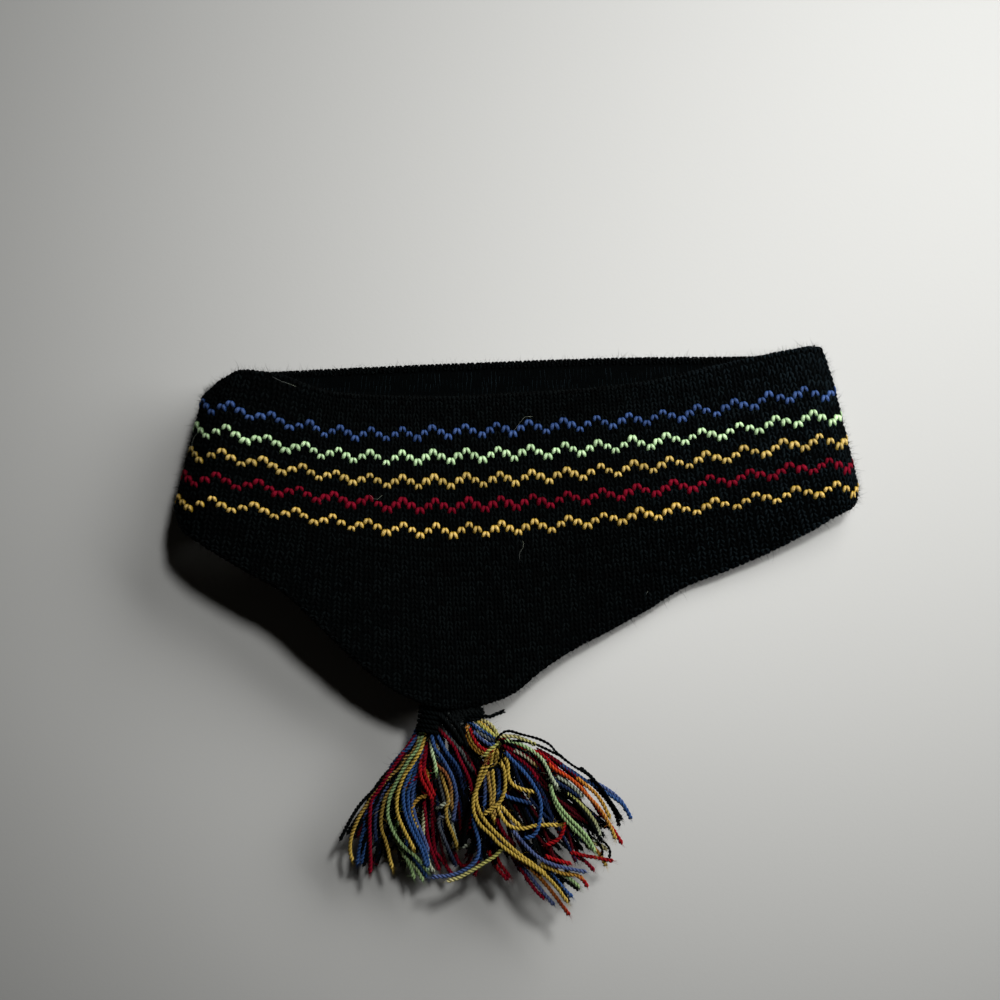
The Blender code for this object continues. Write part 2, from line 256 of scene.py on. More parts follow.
# wale, x, lean, tuck, y at the crown edge, first stripe, last stripe and hem, z at three of them
ribs = np.array((
    (-1.0, -108.4, -0.25, 4.5, 83.0, 77.5, 44.6, 41.0, 12.0, 12.5, 12.5),
    (1.5, -104.0, -0.24, 3.5, 86.0, 76.4, 44.2, 33.5, 18.5, 19.5, 19.0),
    (4.0, -96.1, -0.19, 1.0, 87.4, 75.5, 43.9, 27.7, 22.0, 23.5, 22.5),
    (8.0, -82.5, -0.18, 0.0, 85.8, 72.0, 41.9, 19.8, 22.5, 24.0, 23.0),
    (12.0, -70.0, -0.15, 0.0, 81.4, 69.2, 40.1, 12.1, 22.0, 23.2, 22.5),
    (16.0, -59.9, -0.08, 0.0, 79.6, 67.6, 38.0, -0.6, 20.6, 22.0, 21.5),
    (20.0, -49.8, -0.02, 0.0, 79.1, 67.1, 36.4, -13.7, 19.0, 20.6, 20.0),
    (24.0, -39.6, 0.02, 0.0, 78.9, 67.3, 35.3, -23.1, 17.6, 19.0, 18.0),
    (28.0, -29.6, 0.05, 0.0, 78.8, 67.9, 34.9, -27.5, 16.5, 17.6, 16.0),
    (32.0, -18.5, 0.04, 0.0, 79.1, 68.5, 35.1, -26.9, 15.5, 16.4, 13.6),
    (36.0, -7.7, 0.05, 0.0, 79.8, 69.1, 35.5, -23.6, 14.7, 15.3, 11.4),
    (40.0, 3.2, 0.05, 0.0, 80.5, 69.7, 36.2, -15.7, 14.0, 14.2, 9.5),
    (44.0, 14.7, 0.06, 0.0, 81.2, 70.4, 37.2, -8.3, 13.4, 13.2, 7.0),
    (48.0, 26.0, 0.08, 0.0, 82.1, 71.3, 38.5, -2.0, 12.8, 12.4, 5.4),
    (52.0, 37.3, 0.11, 0.0, 83.4, 72.4, 39.9, 4.9, 12.2, 11.6, 4.4),
    (56.0, 48.9, 0.14, 0.0, 85.2, 73.5, 41.4, 12.6, 11.6, 11.0, 4.2),
    (60.0, 60.6, 0.19, 0.0, 87.8, 75.1, 43.2, 18.1, 11.2, 10.6, 4.4),
    (64.0, 72.9, 0.24, 0.0, 90.6, 77.1, 45.2, 24.2, 10.8, 10.2, 5.0),
    (68.0, 85.3, 0.29, 0.0, 93.2, 79.6, 47.2, 31.2, 10.4, 10.0, 6.2),
    (72.0, 97.5, 0.34, 0.6, 95.6, 81.4, 49.0, 38.6, 10.0, 9.8, 7.6),
    (74.5, 105.4, 0.29, 0.8, 97.0, 81.8, 48.8, 41.0, 8.4, 8.3, 8.0),
    (76.0, 109.5, 0.24, 1.6, 97.4, 81.7, 48.5, 42.0, 4.9, 4.9, 4.9),
    (77.5, 107.6, 0.24, 1.6, 97.2, 81.7, 48.3, 42.0, 1.3, 1.3, 1.3),
    (80.0, 101.0, 0.24, 1.0, 96.0, 82.0, 49.0, 42.0, 0.0, 0.0, 0.0),
    (86.0, 83.5, 0.20, 0.0, 94.0, 80.2, 47.4, 40.5, 0.0, 0.0, 0.0),
    (100.0, 43.0, 0.09, 0.0, 93.6, 79.0, 46.0, 39.0, 0.0, 0.0, 0.0),
    (120.0, -15.0, -0.06, 0.0, 91.8, 77.4, 44.4, 37.4, 0.0, 0.0, 0.0),
    (140.0, -72.5, -0.21, 0.0, 89.4, 75.6, 43.0, 36.5, 0.0, 0.0, 0.0),
    (149.0, -97.5, -0.25, 1.0, 88.0, 75.4, 43.4, 38.0, 0.0, 0.0, 0.0),
    (151.0, -103.6, -0.25, 3.0, 87.0, 76.2, 44.0, 39.5, 1.8, 1.8, 1.8),
    (153.0, -107.4, -0.25, 4.5, 85.0, 77.0, 44.4, 40.5, 6.0, 6.0, 6.0),
))


def ribSlopes():
    # slopes of smooth closed curves that never run past their own points
    knots, values = ribs[:, 0], ribs[:, 1:]
    steps = np.diff(np.append(knots, knots[0] + band["wales"]))[:, None]
    after = (np.roll(values, -1, 0) - values) / steps
    before, stepBefore = np.roll(after, 1, 0), np.roll(steps, 1, 0)
    sameWay = before * after > 0
    weightA, weightB = 2 * steps + stepBefore, steps + 2 * stepBefore
    mean = (weightA + weightB) / (weightA / np.where(sameWay, before, 1.0)
                                  + weightB / np.where(sameWay, after, 1.0))
    return np.where(sameWay, mean, 0.0)


slopeTable = ribSlopes()


def ribAt(wale):
    # the ten values of a rib at any place round the tube, each as an array
    knots, values = ribs[:, 0], ribs[:, 1:]
    turned = (wale - knots[0]) % band["wales"] + knots[0]
    i = np.searchsorted(knots, turned, side="right") - 1
    j = (i + 1) % len(knots)
    step = ((knots[j] - knots[i]) % band["wales"])[..., None]
    s = (turned - knots[i])[..., None] / step
    found = ((1 + 2 * s) * (1 - s) ** 2 * values[i] + s * (1 - s) ** 2 * step * slopeTable[i]
             + s * s * (3 - 2 * s) * values[j] + s * s * (s - 1) * step * slopeTable[j])
    return np.moveaxis(found, -1, 0)


def edgeRows(wale):
    # the hem's row, and how many rows the half wall is worth at the crown edge and at the hem
    _, _, _, crownY, firstY, lastY, hemY, *_ = ribAt(wale)
    rowHeight = (firstY - lastY) / (band["lastStripe"] - band["firstStripe"])
    hemRow = band["lastStripe"] + (lastY - hemY) / rowHeight
    crownRim = band["halfWall"] * band["firstStripe"] / (crownY - firstY)
    return hemRow, crownRim, band["halfWall"] / rowHeight


def outerFace(wale, row):
    x, lean, tuck, crownY, firstY, lastY, hemY, crownZ, lastZ, hemZ = ribAt(wale)
    hemRow = edgeRows(wale)[0]
    first, last = band["firstStripe"], band["lastStripe"]
    flap = hemRow - last
    y = (crownY + np.clip(row / first, 0, 1) * (firstY - crownY)
         + np.clip((row - first) / (last - first), 0, 1) * (lastY - firstY)
         + np.clip((row - last) / flap, 0, 1) * (hemY - lastY))
    z = 0.0
    share = 1 / len(band["softening"])
    for shift in band["softening"]:
        z = z + share * (crownZ + np.clip((row + shift) / last, 0, 1) * (lastZ - crownZ)
                         + np.clip((row + shift - last) / flap, 0, 1) * (hemZ - lastZ))
    tucked = -np.sign(x) * tuck * np.clip(1 - row / first, 0, None) ** 2
    wale0, reach, amount, rows = band["hemCorner"]
    tucked = tucked - amount * np.exp(-((wale - wale0) / reach) ** 2) * np.clip(
        1 - (hemRow - row) / rows, 0, None) ** 2
    return np.stack((x + lean * (firstY - y) + tucked, y, z), -1) - tableMiddle


def unit(vectors):
    return vectors / np.linalg.norm(vectors, axis=-1, keepdims=True)


def skin(wale, v, depth=0.0):
    # a point of the knit: v counts rows from the crown edge, down the outer face to the hem,
    # and below 0 over the crown edge and down the inner face
    wale, v = np.broadcast_arrays(np.asarray(wale, float), np.asarray(v, float))
    hemRow, crownRim, hemRim = edgeRows(wale)
    overCrown = np.clip((crownRim - v) / crownRim, 0, None)
    overHem = np.clip((v - hemRow + hemRim) / hemRim, 0, None)
    row = np.clip(v, crownRim, hemRow - hemRim)
    row = row + np.clip(overCrown - math.pi, 0, None) * crownRim
    row = row - np.clip(overHem - math.pi, 0, None) * hemRim
    turn = np.clip(overCrown, 0, math.pi) - np.clip(overHem, 0, math.pi)
    step = band["probe"]
    across = outerFace(wale + step, row) - outerFace(wale - step, row)
    down = unit(outerFace(wale, row + step) - outerFace(wale, row - step))
    outward = unit(np.cross(down, across))
    way = outward * np.cos(turn)[..., None] - down * np.sin(turn)[..., None]
    middle = outerFace(wale, row) - band["halfWall"] * outward
    return middle + way * (band["halfWall"] - depth)


def skinFrame(wale, v):
    # place, width of a wale, height of a row, and the directions of the apex and outwards
    step, upright = band["probe"], band["upright"]
    across = skin(wale + step, v, step) - skin(wale - step, v, step)
    along = skin(wale, v + step, step) - skin(wale, v - step, step)
    outward = unit(np.cross(along, across))
    width = np.linalg.norm(across, axis=-1) / (2 * step)
    height = np.linalg.norm(along, axis=-1) / (2 * step)
    apex = unit(unit(np.cross(outward, across)) * upright - unit(along) * (1 - upright))
    return skin(wale, v), width, height, apex, outward


core = dict(                 # the knit's dark middle, under its stitches
    depth=0.65,              # how far it lies below the skin, mm
    tone=0.60,               # its colour beside the black yarn's, darker as painted shade in the gaps between stitches
    faceRings=45, edgeRings=6,
    hairs=0.20, edgeHairs=1.5, edgeReach=2.5, folds=(-1, 76), foldReach=4.0,
)


def coreMesh():
    wales = np.arange(band["wales"], dtype=float)
    hemRow, crownRim, hemRim = edgeRows(wales)
    down = np.linspace(0, 1, core["faceRings"])[:, None]
    turn = np.linspace(0, math.pi, core["edgeRings"])[1:-1, None]
    face = hemRow - hemRim - crownRim
    loop = np.concatenate((
        hemRow - hemRim - down * face,                              # up the outer face
        crownRim - turn * crownRim,                                 # over the crown edge
        crownRim * (1 - math.pi) - down * face,                     # down the inner face
        (hemRow - hemRim + (math.pi - turn) * hemRim)))             # round the hem
    points = skin(np.broadcast_to(wales, loop.shape), loop, core["depth"])
    rings, columns = loop.shape
    index = np.arange(rings * columns).reshape(rings, columns)
    nextRing, nextWale = np.roll(index, -1, 0), np.roll(index, -1, 1)
    both = np.roll(nextRing, -1, 1)
    faces = np.stack((index, nextWale, both, nextRing), -1).reshape(-1, 4)
    # hairs stand closer along the edges and folds
    toEdge = np.minimum(np.abs(loop), np.abs(hemRow - loop))
    half = band["wales"] / 2
    toFolds = [(wales - fold + half) % band["wales"] - half for fold in core["folds"]]
    hairy = core["hairs"] + core["edgeHairs"] * np.exp(-(toEdge / core["edgeReach"]) ** 2) + sum(
        np.exp(-(away / core["foldReach"]) ** 2) for away in toFolds)
    # the core is black yarn darkened as painted shade, seen in the gaps between stitches
    black = (*(core["tone"] * np.array(yarns["black"])), 1.0)
    piece = built("knitCore", points.reshape(-1, 3) * mm, faces=faces.tolist(),
                  yarnColour=np.tile(black, (len(points.reshape(-1, 3)), 1)),
                  hairy=hairy.ravel(), ridgeTone=np.ones(hairy.size))
    piece.data.shade_smooth()
    piece.data.materials.append(blackWool)
    return piece


knitCore = coreMesh()
print("knit core done")

# Stitches

stitch = dict(
    places=(0.0, 0.25, 0.5, 0.75, 1.0),    # shares of a leg's length, for the two legs below
    stripeSize=(1.13, 1.05), # width and height of a coloured stitch beside a black one
    jitter=0.13,             # how far a stitch may turn, radians
    unevenness=0.12,         # how far its size may differ
    wander=0.05,             # how far it may lie from its place, in wales and rows
    blackMottle=0.75, stripeMottle=0.22, ribMottle=0.40,
    clearance=0.46,          # least height over the table, in stitch widths
    paintedLegEndShade=0.7,             # painted shade at a leg's upper end
    paintedHighlightAt=0.42,          # share of a leg's length where the painted highlight is palest
    flatness=1.6,            # how much longer than wide a leg's rings are
    seed=4,
)

# one leg of a stitch on the face, and one of the ribs that the inside shows: x and z in wale
# widths, y in row heights, the painted shade beside the leg and the painted highlight along its top, and
# where they fade
faceLeg = dict(
    x=(0.05, 0.16, 0.28, 0.33, 0.30), y=(0.66, 0.48, -0.02, -0.60, -1.15),
    z=(0.05, 0.15, 0.18, -0.02, -0.30), radius=(0.14, 0.195, 0.21, 0.185, 0.10),
    groove=0.80, ridge=1.20, fall=0.32,
)
stripeLeg = dict(faceLeg, x=(0.04, 0.13, 0.25, 0.34, 0.34),
                 radius=(0.13, 0.22, 0.26, 0.24, 0.14), groove=0.05, ridge=2.05)
ribLeg = dict(
    x=(0.25, 0.25, 0.25, 0.25, 0.25), y=(0.90, 0.45, 0.0, -0.45, -0.90),
    z=(-0.05, 0.08, 0.12, 0.08, -0.05), radius=(0.12, 0.19, 0.21, 0.19, 0.12),
    groove=0.50, ridge=2.20, fall=4.0,
)


def unitStitch(name, leg, rings, sides):
    # two plump legs side by side, each a closed spindle, with painted shade at its sides and foot and a
    # painted highlight along its top
    points, faces, tones = [], [], []
    turns = np.arange(sides) * 2 * math.pi / sides
    curve = np.array([leg["x"], leg["y"], leg["z"]])

    def legPoint(s):
        return np.array([np.interp(s, stitch["places"], row) for row in curve])

    for side in (1, -1):
        base = len(points)
        points.append(legPoint(0.0) * (side, 1, 1))
        tones.append(stitch["paintedLegEndShade"])
        for s in rings:
            ahead = unit(legPoint(min(s + 0.08, 1)) - legPoint(max(s - 0.08, 0)))
            beside = unit(np.cross(ahead, (0.0, 0.0, 1.0)))
            above = np.cross(beside, ahead)
            radius = np.interp(s, stitch["places"], leg["radius"])
            for turn in turns:
                reach = (beside * math.cos(turn) + above * math.sin(turn)) * radius
                points.append((legPoint(s) + reach * (1, stitch["flatness"], 1)) * (side, 1, 1))
                # painted highlight along the top of the leg, painted shade beside it and at its ends
                fade = math.exp(-((s - stitch["paintedHighlightAt"]) / leg["fall"]) ** 2)
                top = max(0.0, math.sin(turn)) * fade
                tones.append(leg["groove"] + (leg["ridge"] - leg["groove"]) * top)
        points.append(legPoint(1.0) * (side, 1, 1))
        tones.append(leg["groove"] / 2)
        last = len(points) - 1
        for k in range(sides):
            n = (k + 1) % sides
            strip = [(base, base + 1 + k, base + 1 + n)]
            for ring in range(len(rings) - 1):
                a, b = base + 1 + ring * sides, base + 1 + (ring + 1) * sides
                strip.append((a + k, b + k, b + n, a + n))
            a = base + 1 + (len(rings) - 1) * sides
            strip.append((a + k, last, a + n))
            faces += [face[::-1] if side < 0 else face for face in strip]
    shape = built(name, np.array(points), faces=faces, ridgeTone=tones)
    shape.data.shade_smooth()
    return shape


def stitchTree():
    group, tree, given = geometryTree("knitStitches", {
        "Stitch": "Object", "Turn": "Float", "Unevenness": "Float", "Seed": "Int",
        "Material": "Material"})
    unitShape = tree.add("GeometryNodeObjectInfo", {}, {"Object": given.out("Stitch")})
    facing = tree.add(
        "FunctionNodeAxesToRotation", {"primary_axis": "Z", "secondary_axis": "Y"},
        {"Primary Axis": named(tree, "outward", "FLOAT_VECTOR"),
         "Secondary Axis": named(tree, "up", "FLOAT_VECTOR")})
    lean = tree.add("FunctionNodeRandomValue", {}, {
        "Min": 0.0 - given.out("Turn"), "Max": given.out("Turn"), "Seed": given.out("Seed")})
    turned = tree.add("FunctionNodeRotateRotation", {"rotation_space": "LOCAL"}, {
        "Rotation": facing,
        "Rotate By": tree.add("FunctionNodeAxisAngleToRotation", {}, {"Angle": lean})})
    grow = tree.add("FunctionNodeRandomValue", {}, {
        "Min": 1.0 - given.out("Unevenness"), "Max": given.out("Unevenness") + 1.0,
        "Seed": given.out("Seed") + 1.0})
    size = tree.add("ShaderNodeVectorMath", {"operation": "SCALE"}, {
        0: named(tree, "size", "FLOAT_VECTOR"), "Scale": grow})
    placed = tree.add("GeometryNodeInstanceOnPoints", {}, {
        "Points": given.out("Geometry"), "Instance": unitShape.out("Geometry"),
        "Rotation": turned, "Scale": size})
    closeTree(tree, placed, given.out("Material"))
    return group


stitches = stitchTree()
plainStitch = unitStitch("plainStitch", faceLeg, (0.14, 0.48, 0.84), 4)
fineStitch = unitStitch("fineStitch", stripeLeg, (0.08, 0.24, 0.42, 0.62, 0.86), 6)
lowStitch = unitStitch("lowStitch", faceLeg, (0.22, 0.70), 3)    # for the back
ribStitch = unitStitch("ribStitch", ribLeg, (0.15, 0.85), 4)     # for the inside that shows
simpleStitch = unitStitch("simpleStitch", ribLeg, (0.50,), 3)    # for the rest of the inside
chance = np.random.default_rng(11)

stripes = dict(              # the dyes from the top down, linear
    dyes=((0.011, 0.034, 0.112), (0.215, 0.360, 0.160), (0.270, 0.176, 0.021),
          (0.092, 0.0014, 0.0072), (0.325, 0.200, 0.017)),
    zigzag=(0, 1, 2, 1),     # rows below the peak, wale by wale
    step=5,                  # rows from one stripe to the next
    bulk=(1.0, 1.0, 1.0, 1.12, 1.0),  # size beside the other stripes' stitches
)


def stripeOf(wale, v):
    # the stripe that a stitch belongs to, or -1
    start = band["firstStripe"] + np.array(stripes["zigzag"])[wale % len(stripes["zigzag"])]
    number, rest = np.divmod(v - start, stripes["step"])
    number = number.astype(int)
    return np.where((rest == 0) & (number >= 0) & (number < len(stripes["dyes"])), number, -1)


def everyStitch():
    # wale and row of all stitches, counted over both faces and both edges
    wales, rows = [], []
    for wale in range(band["wales"]):
        hemRow, crownRim, hemRim = (float(x) for x in edgeRows(np.array(float(wale))))
        face = hemRow - hemRim - crownRim
        top, gap, step = crownRim * (1 - math.pi), band["rimGap"], band["rimStep"]
        inside = np.arange(math.ceil(top - face + band["innerGap"]),
                           math.floor(top - band["innerGap"]))
        crown = np.arange(top - gap, crownRim - gap, step)
        outside = np.arange(math.ceil(crownRim), math.floor(hemRow - hemRim) + 1)
        hem = np.arange(outside[-1] + band["hemGap"],
                        hemRow - hemRim + (math.pi - gap) * hemRim, step)
        found = np.concatenate((inside, crown, outside, hem))
        rows.append(found)
        wales.append(np.full(len(found), wale))
    return np.concatenate(wales), np.concatenate(rows)


def knit(name, wale, v, shape, material, colours, bulk=1.0):
    wander = chance.normal(0, stitch["wander"], (2, len(wale)))
    place, width, height, up, outward = skinFrame(wale + wander[0], v + wander[1])
    width, height = np.clip(width, *band["widths"]), np.clip(height, *band["heights"])
    mottle = stitch["blackMottle"]
    if shape is fineStitch:
        width, height = width * stitch["stripeSize"][0], height * stitch["stripeSize"][1]
        width, height = width * bulk, height * bulk
        mottle = stitch["stripeMottle"]
    if shape is ribStitch:
        mottle = stitch["ribMottle"]
    hemRow, crownRim, hemRim = edgeRows(wale.astype(float))
    half = band["halfRow"]
    atEdge = (v > hemRow - hemRim - half) | (
        (v < crownRim + half) & (v > crownRim * (1 - math.pi) - half))
    swell = width * np.where(atEdge, band["rimFlat"], 1.0)
    place = place - outward * (band["sink"] * swell)[:, None]
    lowest = stitch["clearance"] * swell * np.clip(-outward[:, 2], 0, 1)
    place[:, 2] = np.maximum(place[:, 2], lowest)
    size = np.stack((width, height * np.where(atEdge, band["rimHeight"], 1.0), swell), -1) * mm
    shade = colours * chance.uniform(1 - mottle, 1 + mottle, (len(wale), 1))
    host = built("host", place * mm, up=up, outward=outward, size=size,
                 yarnColour=np.column_stack((shade, np.ones(len(wale)))))
    return grown(host, stitches, {
        "Stitch": shape, "Turn": stitch["jitter"], "Unevenness": stitch["unevenness"],
        "Seed": stitch["seed"], "Material": material}, name)


panels = dict(               # how the knit is parted into pieces
    start=-4, middle=40, back=82,    # first wale, and the panels' ends counted from there
    shownRows=18,            # rows of the back's inside that the sagging front leaves open
    insidePaler=0.6, paintedLightStart=48, paintedLightWales=24, paintedLightEnd=80,   # where black is paler: the inside that shows, and the front's right part as painted light
)


def knitAll():
    wale, v = everyStitch()
    stripe = stripeOf(wale, v)
    crownRim = edgeRows(wale.astype(float))[1]
    inside = v < crownRim * (1 - math.pi) - band["halfRow"]
    turned = (wale - panels["start"]) % band["wales"]
    atBack = turned >= panels["back"]
    shown = inside & (v > -panels["shownRows"]) & atBack
    # the front's right wales get painted light; the inside that shows is paler
    paler = panels["insidePaler"] * shown + np.clip(
        (wale - panels["paintedLightStart"]) / panels["paintedLightWales"], 0, 1) * (wale < panels["paintedLightEnd"])
    black = np.array(yarns["black"]) + paler[:, None] * np.array(yarns["paleTintAndPaintedLight"])
    dyes = np.array(stripes["dyes"])
    plain = (stripe < 0) & ~inside
    left = turned < panels["middle"]
    for name, mask, shape in (
            ("knitFrontLeft", plain & left, plainStitch),
            ("knitFrontRight", plain & ~left & ~atBack, plainStitch),
            ("knitBack", plain & atBack, lowStitch), ("knitInsideTop", shown, ribStitch),
            ("knitInside", inside & ~shown, simpleStitch)):
        knit(name, wale[mask], v[mask], shape, blackKnit, black[mask])
    mask = stripe >= 0
    knit("knitStripes", wale[mask], v[mask], fineStitch, colouredKnit, dyes[stripe[mask]],
         np.array(stripes["bulk"])[stripe[mask]])


knitAll()
print("stitches done")

# Yarns

yarn = dict(
    # sides of a ply, and mm between two of its rings
    fine=(5, 0.42), thin=(4, 0.42), deep=(4, 0.90),
    pitch=2.8,               # one full twist of the two plies
    plyOffset=0.35, plyRadius=0.47,
    groove=0.06, ridge=1.46, # painted shade between the plies and painted highlight on their tops
    grooveReach=0.10,        # share of the yarn's thickness that gets the darkest painted shade, squared
    frayed=7.0,              # length of the hairier stretch before a cut end
    hairs=(0.6, 3.0),        # how hairy it is along its length and at its cut end
    opened=0.5,              # how far the plies part at an end, beside their offset
    endSize=0.45,            # thickness of an end beside the rest
    spacing=1.2,             # between the points of its line, mm
    toneSpread=(0.85, 1.15), blackOver=1.4,   # one yarn's tone, mm in which it turns black
)


def yarnTree():
    # two plies wound round each other along every line of the host
    group, tree, given = geometryTree("twistedYarn", {
        "Segment": "Float", "Pitch": "Float", "Ply offset": "Float", "Ply radius": "Float",
        "Sides": "Int", "Material": "Material"})
    line = tree.add("GeometryNodeMeshToCurve", {}, {"Mesh": given.out("Geometry")})
    even = tree.add("GeometryNodeResampleCurve", {"mode": "LENGTH"}, {
        "Curve": line, "Length": given.out("Segment")})
    steady = tree.add("GeometryNodeSetCurveNormal", {"mode": "MINIMUM_TWIST"}, {"Curve": even})
    along = tree.add("GeometryNodeSplineParameter")
    whole = tree.add("GeometryNodeSplineLength").out("Length")
    fromStart = along.out("Length")
    place = tree.add("GeometryNodeInputPosition")
    marked = stored(tree, steady, "axis", "FLOAT_VECTOR", place)
    near = (whole - fromStart) / (yarn["frayed"] * mm)
    usual, end = yarn["hairs"]
    marked = stored(tree, marked, "hairy", "FLOAT", near.math(
        "MAXIMUM", end - (end - usual) * near, usual))
    plies = tree.add("GeometryNodeDuplicateElements", {"domain": "SPLINE"}, {
        "Geometry": marked, "Amount": 2})
    fromEnd = fromStart.math("MINIMUM", fromStart, whole - fromStart)
    angle = (fromStart / given.out("Pitch") * (2 * math.pi)
             + plies.out("Duplicate Index") * math.pi + named(tree, "phase", "FLOAT"))
    normal = tree.add("GeometryNodeInputNormal")
    tangent = tree.add("GeometryNodeInputTangent")
    beside = tree.add("ShaderNodeVectorMath", {"operation": "CROSS_PRODUCT"}, {
        0: tangent, 1: normal})
    thick = named(tree, "thick", "FLOAT")
    turns = fromEnd / given.out("Pitch")
    opened = yarn["opened"]
    reach = given.out("Ply offset") * thick * (
        1.0 + opened - turns.math("MINIMUM", turns * opened, opened))
    onNormal = tree.add("ShaderNodeVectorMath", {"operation": "SCALE"}, {
        0: normal, "Scale": angle.math("COSINE", angle) * reach})
    onSide = tree.add("ShaderNodeVectorMath", {"operation": "SCALE"}, {
        0: beside, "Scale": angle.math("SINE", angle) * reach})
    shifted = tree.add("GeometryNodeSetPosition", {}, {
        "Geometry": plies.out("Geometry"),
        "Offset": tree.add("ShaderNodeVectorMath", {"operation": "ADD"}, {
            0: onNormal, 1: onSide})})
    ring = tree.add("GeometryNodeCurvePrimitiveCircle", {}, {
        "Resolution": given.out("Sides"), "Radius": given.out("Ply radius")})
    narrowed = thick * turns.math("MINIMUM", turns * 2.0 + yarn["endSize"], 1.0)
    tubes = tree.add("GeometryNodeCurveToMesh", {}, {
        "Curve": shifted, "Profile Curve": ring, "Scale": narrowed, "Fill Caps": True})
    smooth = tree.add("GeometryNodeSetShadeSmooth", {}, {
        "Geometry": tubes, "Shade Smooth": True})
    # painted shade near the yarn's axis, between the plies, and painted highlight on the plies' outer
    # tops
    fromAxis = tree.add("ShaderNodeVectorMath", {"operation": "DISTANCE"}, {
        0: place, 1: named(tree, "axis", "FLOAT_VECTOR")}).out("Value")
    full = (given.out("Ply offset") + given.out("Ply radius")) * thick
    outmost = fromAxis / full
    tone = tree.add("ShaderNodeMapRange", {}, {
        "Value": outmost * outmost, "From Min": yarn["grooveReach"], "From Max": 1.0,
        "To Min": yarn["groove"], "To Max": yarn["ridge"]})
    closeTree(tree, stored(tree, smooth, "ridgeTone", "FLOAT", tone), given.out("Material"))
    return group


twisted = yarnTree()


def smoothLine(points, spacing):
    # more points, on a smooth curve through the given ones
    points = np.asarray(points, float)
    ends = np.vstack((2 * points[0] - points[1], points, 2 * points[-1] - points[-2]))
    found = []
    for a, b, c, d in zip(ends, ends[1:], ends[2:], ends[3:]):
        count = max(1, round(float(np.linalg.norm(c - b)) / spacing))
        t = (np.arange(count) / count)[:, None]
        found.append(0.5 * (2 * b + (c - a) * t + (2 * a - 5 * b + 4 * c - d) * t ** 2
                            + (3 * b - a - 3 * c + d) * t ** 3))
    return np.vstack((*found, points[-1:]))


def spin(name, strands, detail, material=None, wrapped=math.inf):
    # strands: (points in the part's mm, colour at the start, colour at the end, thickness);
    # what lies above wrapped, in y, is black
    points, edges, colours, phases, thicks = [], [], [], [], []
    for route, first, last, thick in strands:
        line = smoothLine(route, yarn["spacing"])
        edges += [(len(points) + k, len(points) + k + 1) for k in range(len(line) - 1)]
        points += list(line)
        share = np.linspace(0, 1, len(line))[:, None] ** 2
        tone = chance.uniform(*yarn["toneSpread"])
        mixed = (np.array(yarns[first]) * (1 - share) + np.array(yarns[last]) * share) * tone
        hidden = ease((line[:, 1:2] - wrapped) / yarn["blackOver"])
        mixed = mixed * (1 - hidden) + np.array(yarns["black"]) * hidden
        colours += [(*colour, 1.0) for colour in mixed]
        phases += [chance.uniform(0, 2 * math.pi)] * len(line)
        thicks += [thick] * len(line)
    host = built("host", np.array(points) * mm, edges, yarnColour=colours, phase=phases,
                 thick=thicks)
    sides, segment = detail
    return grown(host, twisted, {
        "Segment": segment * mm, "Pitch": yarn["pitch"] * mm,
        "Ply offset": yarn["plyOffset"] * mm, "Ply radius": yarn["plyRadius"] * mm,
        "Sides": sides, "Material": material or tasselWool}, name)


def atPixel(px, py, z):
    scale = photo["pixel"] * (1 - z / photo["height"])
    return np.array(((px - photo["centre"]) * scale + photo["middle"][0],
                     (photo["centre"] - py) * scale + photo["middle"][1], z))


def ease(t):
    t = np.clip(t, 0.0, 1.0)
    return t * t * (3 - 2 * t)


# how the two bunches lie, in mm: the middle's height and its fall towards the tips or a side,
# half the thickness and how it swells, and for the left one how it spreads
heaps = dict(
    top=14.4, firstGuess=14.0, guesses=3,
    leftStart=-38.0, leftLength=44.0, leftFall=5.0, sideStart=-28.0, sideWidth=10.0, sideFall=2.0,
    leftHalf=2.2, leftSwell=2.0, swellTurn=0.75,
    middleX=-31.5, drift=7.0, neckWidth=4.5, spread=21.0, thinnest=0.2,
    rightStart=4.0, rightWidth=28.0, rightFall=4.4,
    rightHalf=2.4, rightSwell=1.2, swellStart=-50.0, swellLength=20.0,
)


def leftHeap(x, y, level):
    # the height of a level from 0 to 1 at a place
    h = heaps
    fall = np.clip((h["leftStart"] - y) / h["leftLength"], 0.0, 1.1)
    side = ease((x - h["sideStart"]) / h["sideWidth"])
    middle = h["top"] - h["leftFall"] * fall - h["sideFall"] * side * fall
    half = h["leftHalf"] + h["leftSwell"] * math.sin(math.pi * min(fall, 1.0) * h["swellTurn"])
    aside = (x - h["middleX"] + h["drift"] * fall) / (h["neckWidth"] + h["spread"] * fall)
    return middle + half * (2 * level - 1) * math.sqrt(max(h["thinnest"], 1 - aside * aside))


def rightHeap(x, y, level):
    h = heaps
    middle = h["top"] - h["rightFall"] * ease((x - h["rightStart"]) / h["rightWidth"])
    half = h["rightHalf"] + h["rightSwell"] * ease((h["swellStart"] - y) / h["swellLength"])
    return middle + half * (2 * level - 1)


def routeOf(pixels, level, heap):
    # sets pixels of the photo on the heap; the height changes where a pixel lies, so it settles
    route = []
    for px, py in pixels:
        z = heaps["firstGuess"]
        for _ in range(heaps["guesses"]):
            x, y, _ = atPixel(px, py, z)
            z = float(heap(x, y, level))
        route.append(atPixel(px, py, z))
    return route


